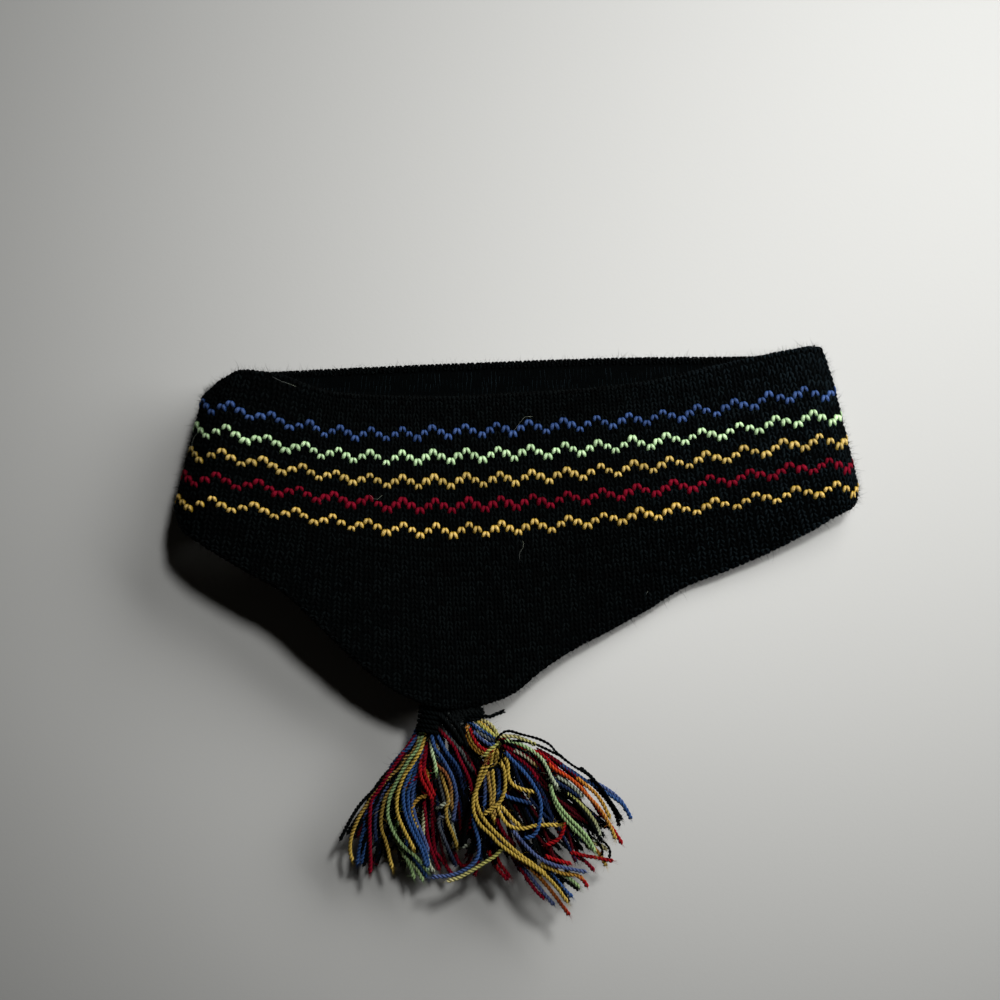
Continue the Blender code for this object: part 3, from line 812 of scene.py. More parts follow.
# One row for each yarn: its colours, its level, and where it runs from the top down, in pixels
leftYarns = (
    ("gold", 1.00, 424, 734, 421, 744, 417, 756, 411, 766, 405, 774, 400, 786, 397.5, 795, 396.5, 805,
     398, 816, 402, 826, 408, 838, 414, 850),
    ("green", 0.86, 419, 735, 415, 744, 411, 757, 404, 768, 399, 777, 394, 787, 390, 796, 388, 807,
     388, 817, 392, 829, 397, 838, 405, 848, 415, 856, 428, 871),
    ("green", 0.60, 395, 832, 400, 846, 406, 858, 411, 868, 414, 879),
    ("pale to green", 0.55, 402, 848, 409, 860, 417, 870, 423, 881),
    ("tan to gold", 0.62, 410, 742, 406, 757, 399, 768, 391, 775, 384, 783, 375, 793, 366, 806, 360, 815,
     355, 826, 351, 838, 350, 850, 352, 861),
    ("tan to gold", 0.66, 400, 776, 392, 788, 386, 796, 383, 806, 381, 818, 381.5, 829, 385, 839,
     388, 850, 390, 860, 392, 868),
    ("crimson", 0.82, 411, 728, 406, 742, 402, 754, 395, 764, 389, 773, 383, 783, 377, 792, 371.5, 800,
     370, 810, 369.5, 825, 370, 845, 370.5, 862, 370, 873),
    ("black", 0.55, 392, 768, 378, 786, 368, 796, 359, 806, 352, 817, 346, 828, 340, 840),
    ("black", 0.40, 380, 792, 370, 803, 360, 814, 352, 826, 347, 834),
    ("blue to navy", 0.70, 413, 736, 410, 746, 403, 752, 396, 760, 390, 768),
    ("blue", 0.50, 367, 812, 364, 828, 360, 845, 357, 864),
    ("blue", 0.40, 370, 815, 367, 832, 364, 848, 361, 863),
    ("black", 0.35, 370, 830, 367, 845, 365, 860, 363, 866),
    ("lavender to navy", 0.55, 384, 792, 379, 802, 376, 813, 375, 827, 376, 842),
    ("blue", 0.98, 408, 778, 404, 788, 403, 797, 404, 808, 407, 819, 411, 829, 416, 839, 421, 849,
     424, 858, 426, 866),
    ("blue", 0.92, 412, 782, 408, 792, 408, 802, 409, 813, 413, 824, 418, 835, 423, 846, 427, 857,
     428, 866),
    ("blue to lavender", 0.80, 414, 786, 412, 796, 413, 808, 416, 820, 421, 832, 426, 844, 428, 852),
    ("blue", 0.50, 406, 846, 412, 858, 420, 868, 427, 877),
    ("crimson", 0.88, 427, 740, 425, 757, 423, 766, 419, 774, 414, 779, 409, 784),
    ("lavender to navy", 0.70, 421, 758, 418, 766, 415, 774, 413, 784, 414, 792),
    ("red", 0.97, 420, 768, 421, 778, 425, 786, 429, 793, 432, 800),
    ("red", 0.88, 424, 770, 427, 780, 431, 788, 434, 796),
    ("crimson to black", 0.66, 418, 776, 420, 786, 424, 794, 428, 799),
    ("amber to gold", 0.80, 427, 794, 421, 797, 415, 802, 412, 809, 414, 818, 418, 828),
    ("white to green", 1.00, 427, 731, 429, 741, 432, 752, 434.5, 762, 436, 773),
    ("blue to lavender", 0.97, 428, 735, 434, 746, 441, 757, 447, 767, 452, 777, 455, 787, 456.5, 798,
     455, 808, 453, 821),
    ("navy", 0.75, 428, 742, 436, 754, 443, 765, 449, 777, 452, 790),
    ("blue to navy", 0.90, 436, 727, 438, 733, 441, 741, 445, 750, 452, 759, 458, 768, 461, 778),
    ("navy", 0.72, 440, 744, 447, 756, 454, 766, 460, 778, 463, 790),
    ("crimson", 0.92, 444, 726, 448, 734, 453, 745, 458, 756, 464, 768, 469, 779, 472, 792),
    ("crimson to black", 0.80, 452, 722, 456, 730, 460, 742, 465, 754, 470, 764),
    ("crimson to tan", 0.84, 433, 758, 437, 766, 443, 770, 448, 778, 451, 788, 451, 798, 452, 809),
    ("tan to gold", 0.88, 448, 798, 446, 808, 447, 820, 451, 830, 455, 840, 457, 847),
    ("grey to white", 0.80, 449, 801, 444, 804, 440, 807),
    ("grey to navy", 0.78, 446, 812, 439, 818, 439, 826, 442, 834, 447, 846, 452, 857, 456, 866),
    ("grey to black", 0.90, 462, 752, 464, 757, 469, 765, 474, 773),
    ("crimson", 0.55, 424, 802, 425, 812, 426, 824, 428, 838, 431, 849, 435, 860, 439, 870),
    ("crimson", 0.50, 434, 846, 440, 857, 447, 867, 452, 875),
    ("pale to white", 0.62, 423, 838, 426, 852, 430, 866, 434, 872),
    ("navy", 0.45, 440, 820, 443, 836, 448, 850, 452, 862),
    ("red to crimson", 0.55, 474, 838, 472, 853, 465, 866, 458, 862, 455, 853),
    ("white", 0.70, 457, 844, 465, 845, 472, 845),
    # black and dark yarns low in the bunch, partly painted shade in the gaps between the coloured yarns
    ("black", 0.42, 396, 780, 388, 800, 382, 820, 378, 838, 377, 856),
    ("black", 0.38, 402, 790, 394, 808, 388, 826, 385, 842, 386, 858),
    ("maroon to black", 0.40, 408, 800, 403, 818, 399, 836, 399, 852, 402, 866),
    ("navy to black", 0.36, 390, 790, 379, 812, 372, 832, 368, 850, 367, 862),
    ("black", 0.36, 414, 812, 410, 830, 409, 846, 413, 860, 420, 872),
    ("black", 0.40, 428, 810, 428, 830, 432, 850, 440, 868),
    ("maroon to black", 0.38, 444, 812, 446, 832, 452, 850, 460, 864),
)

headYarns = (                # the folded head of the right bunch
    ("blue", 0.97, 467, 720, 471, 723, 479, 729, 487, 733, 495, 738),
    ("leaf", 1.00, 474, 719, 479, 723, 485, 729, 492, 734, 497, 739),
    ("pale to leaf", 1.00, 478, 717, 485, 721, 492, 726, 496, 732, 498, 739),
    ("amber to gold", 0.95, 468, 724, 466, 731, 468, 738, 472, 746, 478, 752, 485, 755, 490, 754),
    ("red", 1.00, 470, 728, 472, 734, 475, 741, 480, 747, 487, 751, 493, 750),
    ("gold to amber", 0.97, 469, 729, 470, 737, 474, 744, 479, 749.5, 486, 753),
    ("lavender to blue", 0.96, 474, 731, 479, 737, 485, 742, 491, 745, 496, 743),
    ("grey to navy", 0.90, 476, 731, 483, 735, 490, 739, 496, 741),
    ("black", 0.86, 470, 722, 476, 729, 484, 735, 494, 740),
    ("black", 0.84, 473, 733, 478, 740, 485, 745, 493, 745),
    ("navy", 0.80, 471, 726, 477, 732, 486, 738, 494, 741),
    ("leaf", 1.10, 501, 739, 499, 742, 493, 747, 487, 752, 483, 756),
    ("gold", 1.04, 496, 740, 501, 744, 504, 750, 505, 757, 502, 761, 498, 756, 496, 749),
    ("gold", 0.98, 494, 746, 492, 754, 491, 762, 490, 770),
    ("gold to leaf", 0.95, 476, 720, 483, 724.5, 489, 730, 494, 736, 497, 741),
    ("black", 0.72, 478, 720, 486, 726, 493, 732, 498, 740),
    # black yarns low behind the head, partly painted shade in the gap between the gold yarns
    ("black", 0.66, 499, 740, 502, 748, 503, 758, 500, 768),
    ("black", 0.60, 494, 742, 498, 752, 499, 762, 498, 770),
    ("black", 0.50, 502, 744, 506, 752, 507, 762, 504, 772),
    ("black", 0.40, 484, 752, 494, 757, 504, 758),
    ("gold to tan", 0.92, 497, 750, 496, 758, 495, 770),
    ("tan to crimson", 0.86, 488, 752, 486, 758, 485, 764, 485, 771),
    ("crimson", 0.80, 490, 754, 488, 762, 487, 771),
)

lowYarns = (                 # what hangs from the tied waist
    ("gold", 1.00, 488, 765, 485, 772, 479, 784, 474, 796, 473, 806, 475, 816, 481, 826, 490, 834,
     498, 843, 507, 850, 517, 857, 529, 864, 541, 872, 550, 880, 558, 889, 567, 902),
    ("gold", 0.94, 484, 766, 480, 774, 477, 786, 476, 797, 478, 808, 483, 818, 490, 827, 498, 835,
     505, 842, 514, 850, 524, 858, 534, 865, 545, 874),
    ("tan to gold", 0.90, 487, 768, 489, 782, 491, 796, 491, 808, 494, 820),
    ("gold to tan", 0.92, 492, 766, 493, 780, 494, 792, 493, 804, 495, 816),
    ("lavender to blue", 0.75, 486, 772, 485, 783, 485, 794, 484, 806),
    ("navy to blue", 0.78, 497, 768, 499, 776, 499, 786, 498, 796),
    ("gold", 0.99, 500, 762, 504, 769, 505, 778, 505, 787, 503, 796, 499, 803, 493, 808, 484, 814),
    ("gold", 0.96, 505, 757, 508, 765, 508, 775, 512, 784, 521, 789, 534, 792),
    ("gold", 0.95, 496, 803, 499, 811, 503, 819, 508, 825, 515, 828, 525, 828.5, 533, 826, 545, 825,
     558, 825),
    ("gold", 0.92, 500, 806, 507, 813, 513, 820, 520, 826),
    ("blue", 1.00, 505, 752, 512, 760, 520, 768, 528, 777, 534, 786, 539, 796, 541, 807, 540, 818,
     538, 828, 533, 836, 525, 838),
    ("lavender", 0.93, 512, 830, 519, 838, 526, 846, 534, 854, 544, 861, 557, 866, 570, 869, 586, 872),
    ("leaf to pale", 0.88, 508, 843, 502, 849, 495, 856, 484, 863, 471, 871, 458, 878, 447, 881),
    ("blue to lavender", 0.84, 473, 812, 474, 824, 478, 838, 479, 850, 476, 860, 469, 867, 458, 873,
     446, 876, 432, 877),
    ("blue to navy", 0.82, 500, 792, 508, 797, 518, 800, 532, 804),
    ("amber to red", 0.80, 503, 845, 514, 856, 527, 866, 540, 878, 552, 892, 561, 904, 569, 915),
    ("crimson", 0.55, 508, 850, 518, 864, 528, 880, 537, 892, 545, 899),
    ("lavender", 0.60, 514, 856, 526, 871, 537, 885, 547, 897, 554, 905),
    ("gold to amber", 0.80, 540, 864, 553, 870, 565, 874, 576, 875, 583, 879),
    ("red", 0.78, 578, 876, 584, 881, 587, 887),
    ("black", 0.70, 540, 864, 552, 877, 562, 890, 569, 902),
    ("blue", 0.62, 548, 870, 558, 882, 565, 890, 572, 897),
    ("black", 0.60, 556, 874, 566, 881, 579, 890),
    ("green", 0.66, 560, 873, 570, 879, 579, 887),
    ("red to crimson", 0.35, 488, 850, 496, 866, 502, 874, 508, 880),
    ("red to crimson", 0.30, 492, 848, 499, 862, 505, 871, 510, 877),
    ("crimson", 0.25, 482, 850, 478, 864, 474, 876),
    ("crimson to black", 0.75, 496, 818, 502, 830, 508, 838, 516, 846),
    ("black", 0.70, 506, 800, 514, 812, 520, 822, 528, 834),
)

fanYarns = (                 # what leaves the head to the right
    ("red", 0.92, 499, 738, 511, 741, 523, 748, 539, 753, 549, 761, 556, 768, 564, 774, 574, 782,
     583, 791, 592, 801, 601, 813, 610, 825, 616, 834, 622, 844),
    ("crimson", 0.80, 536, 749, 546, 754, 557, 761, 567, 769, 575, 775, 584, 786),
    ("pale to leaf", 1.00, 499, 736, 507, 736, 517, 737, 527, 741, 536, 745),
    ("green to white", 1.00, 504, 740, 517, 743, 529, 749, 539, 756, 546, 766, 551, 777, 557, 787),
    ("green", 0.86, 550, 784, 553, 795, 559, 806, 569, 818, 581, 830, 589, 840, 595, 852),
    ("green", 0.80, 551, 790, 555, 803, 563, 817, 574, 829, 584, 839, 592, 849),
    ("scarlet to gold", 0.99, 548, 763, 556, 770, 568, 777, 579, 786, 588, 796, 599, 808, 607, 820,
     612, 830, 615, 839),
    ("amber to gold", 0.90, 576, 777, 587, 786, 596, 794, 603, 804, 610, 818),
    ("blue", 0.82, 560, 764, 573, 772, 583, 779, 594, 785, 605, 792, 617, 800, 625, 807, 631, 819),
    ("lavender to blue", 0.75, 590, 780, 600, 785, 611, 792, 621, 801, 627, 812),
    ("navy", 0.80, 548, 772, 557, 782, 568, 789, 580, 797),
    ("white", 0.82, 556, 776, 566, 782, 575, 789, 583, 797),
    ("leaf to white", 0.66, 566, 792, 577, 801, 587, 811, 596, 824, 600, 836),
    ("black", 0.70, 562, 788, 574, 800, 585, 814, 594, 828, 602, 842),
    ("black", 0.86, 580, 768, 590, 776, 600, 788, 611, 803, 622, 820),
    ("black", 0.78, 588, 780, 600, 792, 609, 803, 616, 815, 619, 826),
    ("red", 0.62, 570, 852, 586, 856, 598, 858, 613, 861),
    ("crimson", 0.50, 572, 856, 583, 860, 590, 866, 594, 871),
    ("red", 0.60, 545, 856, 556, 860, 571, 864),
    ("red", 0.72, 566, 818, 564, 826, 562, 834, 556, 841, 546, 845),
    ("pale", 0.55, 582, 838, 592, 843, 600, 845, 607, 850),
    ("amber to gold", 0.55, 586, 840, 596, 850, 602, 858, 606, 866),
    ("crimson to black", 0.70, 502, 744, 512, 750, 526, 756, 540, 766, 546, 778),
    ("crimson", 0.62, 506, 750, 518, 758, 530, 768, 538, 780),
    ("white to tan", 0.74, 514, 750, 526, 757, 535, 765),
    ("navy", 0.55, 508, 748, 522, 762, 534, 778, 544, 796, 550, 814),
    # black yarns low in the fan, partly painted shade in its depth
    ("black", 0.40, 508, 778, 517, 793, 526, 806, 535, 820),
    ("black", 0.35, 512, 786, 522, 801, 531, 815, 540, 829, 549, 842),
    ("maroon to black", 0.30, 534, 812, 543, 826, 552, 838, 560, 850),
)

thinYarns = (                # black sewing thread that runs out with the fan
    ("black", 1.10, 496, 741, 499, 736, 504, 732, 510, 731, 520, 734, 532, 737, 541, 740, 550, 745,
     556, 752, 564, 759, 575, 767, 587, 774, 599, 785, 607, 796, 615, 808, 619, 815),
    ("black", 1.05, 500, 740, 508, 741, 520, 741, 532, 743, 544, 748, 554, 753, 563, 757),
    ("black", 0.70, 598, 838, 606, 844, 610, 851, 609, 858),
    ("black", 0.70, 590, 836, 598, 842, 602, 850, 602, 856),
)

knotYarns = (                # black yarn, partly painted shade under the point, and a little grey between the bunches
    ("black", 0.90, 436, 704, 441, 714, 448, 722, 456, 719, 458, 711, 453, 704),
    ("black", 0.80, 444, 703, 450, 712, 459, 719, 468, 717, 472, 709, 470, 703),
    ("black", 0.60, 430, 706, 438, 716, 446, 727, 452, 738, 459, 744),
    ("black", 1.00, 438, 709, 448, 711, 459, 711, 470, 712, 481, 713),
    ("black", 0.70, 440, 714, 450, 716, 461, 716, 472, 716, 482, 716),
    ("black", 1.10, 436, 712, 444, 719, 451, 727, 457, 735, 462, 744),
    ("black", 1.00, 444, 710, 452, 719, 459, 728, 464, 738, 468, 748),
    ("black", 0.70, 452, 706, 456, 716, 462, 726, 468, 736, 470, 746, 474, 756),
    ("black", 0.50, 462, 704, 464, 716, 463, 728, 466, 742, 472, 754, 478, 764),
    ("black", 0.45, 446, 706, 450, 720, 452, 734, 458, 748, 466, 762, 472, 778),
    ("black", 0.40, 438, 708, 444, 722, 450, 738, 458, 752, 464, 768, 468, 786),
    ("black", 0.95, 462, 708, 466, 716, 474, 720, 481, 717, 483, 711, 478, 706),
    ("grey to black", 0.72, 447, 712, 449, 718, 454, 723, 460, 724, 464, 720),
    ("grey to black", 0.68, 450, 716, 452, 724, 457, 729, 461, 728),
    ("crimson", 0.55, 450, 712, 455, 724, 460, 738, 465, 752, 471, 764, 477, 776),
    ("navy", 0.50, 442, 712, 449, 726, 456, 742, 461, 758, 464, 772, 466, 788),
)

bunches = dict(
    neckTop=np.array((-30.0, -24.6, 10.6)) - tableMiddle,
    neckEnd=np.array((-31.2, -36.5, 14.0)) - tableMiddle,
    neckRadius=2.6,
    neckReach=14.0,          # mm aside at which a yarn lies at the neck's rim
    neckLevels=(-0.4, 1.0),  # how low and high a yarn passes, in radii
    neckRound=0.5,           # how much flatter the neck is at its sides
    neckFree=2.5,            # mm below the neck in which a yarn has no point of its own
    neckGap=6.0, neckSag=0.8,   # a wider gap gets a point halfway, which lies lower
    topShare=0.7, topFlat=0.6,  # the neck's top beside its rest
    wrapped=-35.6,           # above this y the left yarns are black
    waist=np.array((-10.2, -47.2, 13.2)) - tableMiddle,
    head=np.array((-12.0, -37.5, 12.6)) - tableMiddle,
    headSize=(6.2, 7.0, 4.4), headThinnest=0.12,
    # the knot's height, the half of its thickness, and from where it rises and falls, over
    # which length and how far
    knotLevel=9.5, knotHalf=(1.0, 3.0), knotRise=(-24.0, 8.0, 2.0), knotFall=(-44.0, 14.0, 2.0),
    thick=0.92,
)
# dark yarns for the depth of the bunches: partly black yarn, partly painted shade for strands in shadow
mixed = ("black",) * 9 + ("navy", "maroon", "maroon")
fill = dict(                 # number, highest level, pixels of roots and of tips, colours; the dark colours are partly painted shade in the depth
    left=(70, 0.62, (420, 740, 428, 742, 436, 744, 444, 742), (
        350, 832, 356, 856, 372, 864, 392, 862, 412, 868, 432, 868, 450, 864, 462, 858,
        474, 846, 480, 836), mixed),
    middle=(26, 0.6, (450, 730, 458, 732, 466, 738), (
        456, 850, 464, 842, 470, 834, 476, 822, 480, 810), ("black",) * 4 + ("maroon", "navy")),
    between=(16, 0.5, (468, 736, 473, 744, 478, 752), (
        474, 800, 480, 806, 486, 800, 490, 790), ("black",) * 3 + ("maroon",)),
    low=(46, 0.6, (489, 766, 495, 768), (
        458, 850, 470, 862, 488, 866, 508, 872, 532, 886, 556, 890, 574, 880), mixed),
    fan=(50, 0.6, (503, 740, 506, 746), (
        566, 868, 588, 858, 600, 846, 607, 834, 608, 822), mixed),
    head=(8, 0.7, (498, 738, 498, 742), (484, 757, 490, 762), mixed),
    waist=(14, 0.6, (484, 744, 491, 741, 498, 741, 503, 743), (
        484, 770, 491, 774, 498, 774, 506, 772), ("black",)),
    fanDepth=(22, 0.5, (506, 746, 511, 751, 514, 756), (
        530, 840, 548, 836, 562, 832, 577, 824, 590, 814, 598, 806),
        ("black",) * 3 + ("navy",)),
    knot=(22, 0.9, (446, 703, 456, 703, 466, 703, 476, 703), (
        450, 728, 460, 728, 470, 722, 478, 718, 485, 714), ("black",)),
    tipWander=2.5, rootWander=1.5, reach=0.80, bow=0.08, mostBow=0.12, steps=7,
    lowest=0.05,
)


def headHeap(x, y, level):
    middle, size = bunches["head"], bunches["headSize"]
    away = ((x - middle[0]) / size[0]) ** 2 + ((y - middle[1]) / size[1]) ** 2
    return middle[2] + size[2] * level * math.sqrt(max(bunches["headThinnest"], 1 - away))


def knotHeap(x, y, level):
    # comes out from under the hem, and lies lower towards its ends
    upFrom, upLength, up = bunches["knotRise"]
    downFrom, downLength, down = bunches["knotFall"]
    rise, fall = ease((upFrom - y) / upLength), ease((downFrom - y) / downLength)
    thin, more = bunches["knotHalf"]
    return bunches["knotLevel"] + up * rise + (thin + more * rise) * level - down * fall


def throughNeck(route):
    # a yarn of the left bunch starts inside its neck
    top, end, radius = bunches["neckTop"], bunches["neckEnd"], bunches["neckRadius"]
    aside = np.clip((route[0][0] - end[0]) / bunches["neckReach"], -1, 1)
    spread = np.array((aside * radius, 0.0,
                       chance.uniform(*bunches["neckLevels"]) * radius
                       * (1 - bunches["neckRound"] * aside ** 2)))
    while route[0][1] > end[1] - bunches["neckFree"]:
        route = route[1:]
    below = [] if route[0][1] > end[1] - bunches["neckGap"] else [
        0.5 * (end + spread + route[0]) + np.array((0, 0, -bunches["neckSag"]))]
    start = top + bunches["topShare"] * spread * (1, 1, bunches["topFlat"])
    return [start, top * 0.5 + end * 0.5 + spread, *below, *route]


def listed(rows, heap, start=None):
    # yarns of a table, whose colour may change on the way, as in "tan to gold"
    strands = []
    for dye, level, *pixels in rows:
        first, last = (dye.split(" to ") * 2)[:2]
        route = routeOf(np.reshape(pixels, (-1, 2)), level, heap)
        strands.append((start(route) if start else route, first, last, bunches["thick"]))
    return strands


def fillers(place, heap):
    # yarns in the depth of a bunch, mostly dark, partly as painted shade: tips lie on a line, and each
    # bows on its way
    count, most, roots, tips, colours = fill[place]
    roots, tips = np.reshape(roots, (-1, 2)), np.reshape(tips, (-1, 2))
    strands = []
    for _ in range(count):
        share = chance.uniform(0, 1)
        tip = np.array([np.interp(share, np.linspace(0, 1, len(tips)), axis) for axis in tips.T])
        tip = tip + chance.normal(0, fill["tipWander"], 2)
        root = roots[chance.integers(len(roots))] + chance.normal(0, fill["rootWander"], 2)
        tip = root + (tip - root) * chance.uniform(fill["reach"], 1.0)
        bow = np.array((tip[1] - root[1], root[0] - tip[0])) * np.clip(
            chance.normal(0, fill["bow"]), -fill["mostBow"], fill["mostBow"])
        level = chance.uniform(fill["lowest"], most)
        pixels = [root + (tip - root) * t + bow * math.sin(math.pi * t)
                  for t in np.linspace(0, 1, fill["steps"])]
        colour = colours[chance.integers(len(colours))]
        strands.append((routeOf(pixels, level, heap), colour, colour, bunches["thick"]))
    return strands


def makeTassels():
    left = listed(leftYarns, leftHeap, throughNeck)
    deep = [(throughNeck(route), *rest) for route, *rest in fillers("left", leftHeap)]
    deep += fillers("middle", leftHeap) + fillers("between", leftHeap)
    spin("tasselLeftTop", left, yarn["fine"], wrapped=bunches["wrapped"])
    spin("tasselLeftDeep", deep, yarn["deep"], wrapped=bunches["wrapped"])
    top = listed(lowYarns, rightHeap) + listed(headYarns, headHeap) + listed(fanYarns, rightHeap)
    spin("tasselRightTop", top, yarn["fine"])
    ends = left + deep + top
    deep = []
    for place in ("low", "fan", "head", "waist", "fanDepth"):
        deep += fillers(place, headHeap if place == "head" else rightHeap)
    spin("tasselRightDeep", deep, yarn["deep"])
    makeTufts(ends + deep)


tuft = dict(                 # fine fibres that spread from a cut end
    fibres=9, length=3.4, spread=0.60, root=0.45, thick=0.06, seed=21,
    lengths=(0.4, 1.0),      # shortest and longest, beside the length
    sunk=0.8,                # how deep the fibres start in the yarn, mm
    bend=0.3, rise=(0.55, 0.40), wander=0.25,   # shares out and up to the bend and the tip
    thinner=0.7, flattest=0.04, uneven=0.3,
)


def unitTuft():
    # made in millimetres, along z; each fibre is a thin spike of three sides, bent once
    draw = np.random.default_rng(tuft["seed"])
    points, faces = [], []
    for _ in range(tuft["fibres"]):
        angle, out = draw.uniform(0, 2 * math.pi), draw.uniform(0, 1)
        way = np.array((math.cos(angle), math.sin(angle), 0.0))
        length = tuft["length"] * draw.uniform(*tuft["lengths"])
        share, (rise, riseTip) = tuft["bend"], tuft["rise"]
        root = way * tuft["root"] * out + (0, 0, -tuft["sunk"])
        bend = root + way * tuft["spread"] * out * length * share + (0, 0, rise * length)
        tip = bend + way * tuft["spread"] * out * length * (1 - share) + draw.normal(
            0, tuft["wander"], 3) + (0, 0, riseTip * length)
        base = len(points)
        for middle, radius in ((root, 1.0), (bend, tuft["thinner"])):
            for turn in range(3):
                round_ = turn * 2 * math.pi / 3
                points.append(middle + np.array((math.cos(round_), math.sin(round_), 0.0))
                              * radius * tuft["thick"] / 2)
        points.append(tip)
        faces.append((base + 2, base + 1, base))
        for n in range(3):
            m = (n + 1) % 3
            faces += [(base + n, base + m, base + 3 + m, base + 3 + n),
                      (base + 3 + n, base + 3 + m, base + 6)]
    return built("unitTuft", np.array(points), faces=faces, ridgeTone=np.ones(len(points)))


def makeTufts(strands):
    lines = [smoothLine(route, yarn["spacing"]) for route, *_ in strands]
    ways = unit(np.array([line[-1] - line[-3] for line in lines]))
    ways = unit(ways * (1, 1, 0) + (0, 0, 1) * np.maximum(ways[:, 2:], tuft["flattest"]))
    host = built("host", np.array([line[-1] for line in lines]) * mm, outward=ways,
                 up=np.cross(ways, (0.0, 0.0, 1.0)), size=np.full((len(lines), 3), mm),
                 yarnColour=[(*yarns[last], 1.0) for _, _, last, _ in strands])
    shape = unitTuft()
    grown(host, stitches, {"Stitch": shape, "Turn": math.pi, "Unevenness": tuft["uneven"],
                           "Seed": tuft["seed"], "Material": fuzzWool}, "tasselTufts")
    bpy.data.objects.remove(shape, do_unlink=True)


makeTassels()
print("tassels done")


# Black yarns that bind and sew

sewing = dict(
    # radius, turns, pitch and thickness of the yarn round the neck and round the waist
    neck=(3.6, 5.5, 1.55, 0.90), waist=(3.7, 1.15, 0.9, 0.85),
    neckShare=0.56,          # where along the neck its winding has its middle
    steps=12,                # points in one turn
    thick=0.90, fanThick=0.66,
    route=((-23.9, -29.6, 12.6), (-23.3, -33.0, 14.4), (-21.0, -35.0, 14.6), (-18.9, -32.4, 14.2),
           (-17.0, -29.6, 15.0), (-13.6, -29.2, 15.2), (-10.0, -29.6, 14.6), (-7.8, -28.9, 13.2),
           (-5.0, -28.0, 12.6)),
)


def woundLine(middle, along, radius, turns, pitch):
    # a line wound round an axis
    along = unit(np.asarray(along, float))
    beside = unit(np.cross(along, (0.0, 0.0, 1.0)))
    above = np.cross(beside, along)
    found = []
    for angle in np.linspace(0, turns * 2 * math.pi, int(turns * sewing["steps"]) + 1):
        slide = (angle / (2 * math.pi) - turns / 2) * pitch
        found.append(middle + along * slide + radius * (
            beside * math.cos(angle) + above * math.sin(angle)))
    return found


def makeBindings():
    top, end, share = bunches["neckTop"], bunches["neckEnd"], sewing["neckShare"]
    bound = (("neckBinding", top * (1 - share) + end * share, end - top, sewing["neck"]),
             ("waistThread", bunches["waist"], bunches["waist"] - bunches["head"],
              sewing["waist"]))
    for name, middle, axis, (radius, turns, pitch, thick) in bound:
        line = woundLine(middle, axis, radius, turns, pitch)
        spin(name, [(line, "black", "black", thick)], yarn["fine"], blackWool)
    spin("sewingThread", [(np.array(sewing["route"]) - tableMiddle, "black", "black",
                           sewing["thick"])], yarn["fine"], blackWool)
    spin("knotYarn", listed(knotYarns, knotHeap) + fillers("knot", knotHeap), yarn["fine"])
    spin("fanThread", [(*strand[:3], sewing["fanThick"]) for strand in
                       listed(thinYarns, rightHeap)], yarn["thin"], blackWool)


makeBindings()
print("bindings done")

# Fuzz

fuzz = dict(
    # hairs a square metre on the whole surface, and the most where it turns away sideways
    band=(60000.0, 250000.0), nap=(130000.0, 12500000.0), tassel=(110000.0, 0.0),
    length=3.4, napLength=2.1, tasselLength=2.6, thickness=0.075, napThickness=0.08, seed=7,
    tilt=(0.9, 0.9, 3.1),    # the most that a hair may turn, radians
    sizes=(0.5, 1.4),        # shortest and longest, beside the length
    clearance=1.6, rimPower=4.0,
    rings=((0.0, -0.1, 1.0), (0.16, 0.55, 0.8)), tip=(0.55, 0.0, 1.0),
    lowest=0.0001,           # height over the table that a hair keeps, m
)


def unitHair(name, thickness, rings):
    # a bent, pointed hair one unit long, with rings at (bend, height, swell)
    points, faces = [], []
    thickness = thickness / 2
    for k, (bend, z, swell) in enumerate(rings):
        for turn in range(3):
            angle = turn * 2 * math.pi / 3
            points.append((bend + math.cos(angle) * thickness * swell,
                           math.sin(angle) * thickness * swell, z))
        if k:
            a = 3 * (k - 1)
            faces += [(a + n, a + (n + 1) % 3, a + 3 + (n + 1) % 3, a + 3 + n) for n in range(3)]
    points.append(fuzz["tip"])
    tip = len(points) - 1
    faces += [(tip - 3 + n, tip - 3 + (n + 1) % 3, tip) for n in range(3)]
    shape = built(name, points, faces=faces)
    shape.data.shade_smooth()
    return shape


def fuzzTree():
    group, tree, given = geometryTree("woolFuzz", {
        "Hair": "Object", "Density": "Float", "Rim density": "Float", "Length": "Float",
        "Seed": "Int", "Material": "Material"})
    height = tree.add("ShaderNodeSeparateXYZ", {}, {
        "Vector": tree.add("GeometryNodeInputPosition")}).out("Z")
    facing = tree.add("ShaderNodeSeparateXYZ", {}, {
        "Vector": tree.add("GeometryNodeInputNormal")}).out("Z")
    clear = height + facing * given.out("Length") * fuzz["clearance"]
    sideways = facing.math("POWER", 1.0 - facing.math("ABSOLUTE", facing), fuzz["rimPower"])
    roots = tree.add("GeometryNodeDistributePointsOnFaces", {}, {
        "Mesh": given.out("Geometry"),
        "Density": (given.out("Density") * named(tree, "hairy", "FLOAT")
                    + given.out("Rim density") * sideways),
        "Selection": clear.math("GREATER_THAN", clear, given.out("Length")),
        "Seed": given.out("Seed")})
    tilt = tree.add("FunctionNodeRandomValue", {"data_type": "FLOAT_VECTOR"}, {
        "Min": tuple(-turn for turn in fuzz["tilt"]), "Max": fuzz["tilt"],
        "Seed": given.out("Seed")})
    turned = tree.add("FunctionNodeRotateRotation", {"rotation_space": "LOCAL"}, {
        "Rotation": roots.out("Rotation"),
        "Rotate By": tree.add("FunctionNodeEulerToRotation", {}, {"Euler": tilt})})
    size = tree.add("FunctionNodeRandomValue", {}, {
        "Min": given.out("Length") * fuzz["sizes"][0],
        "Max": given.out("Length") * fuzz["sizes"][1],
        "Seed": given.out("Seed") + 5.0})
    shape = tree.add("GeometryNodeObjectInfo", {}, {"Object": given.out("Hair")})
    hairs = tree.add("GeometryNodeInstanceOnPoints", {}, {
        "Points": roots.out("Points"), "Instance": shape.out("Geometry"),
        "Rotation": turned, "Scale": size})
    closeTree(tree, hairs, given.out("Material"))
    return group


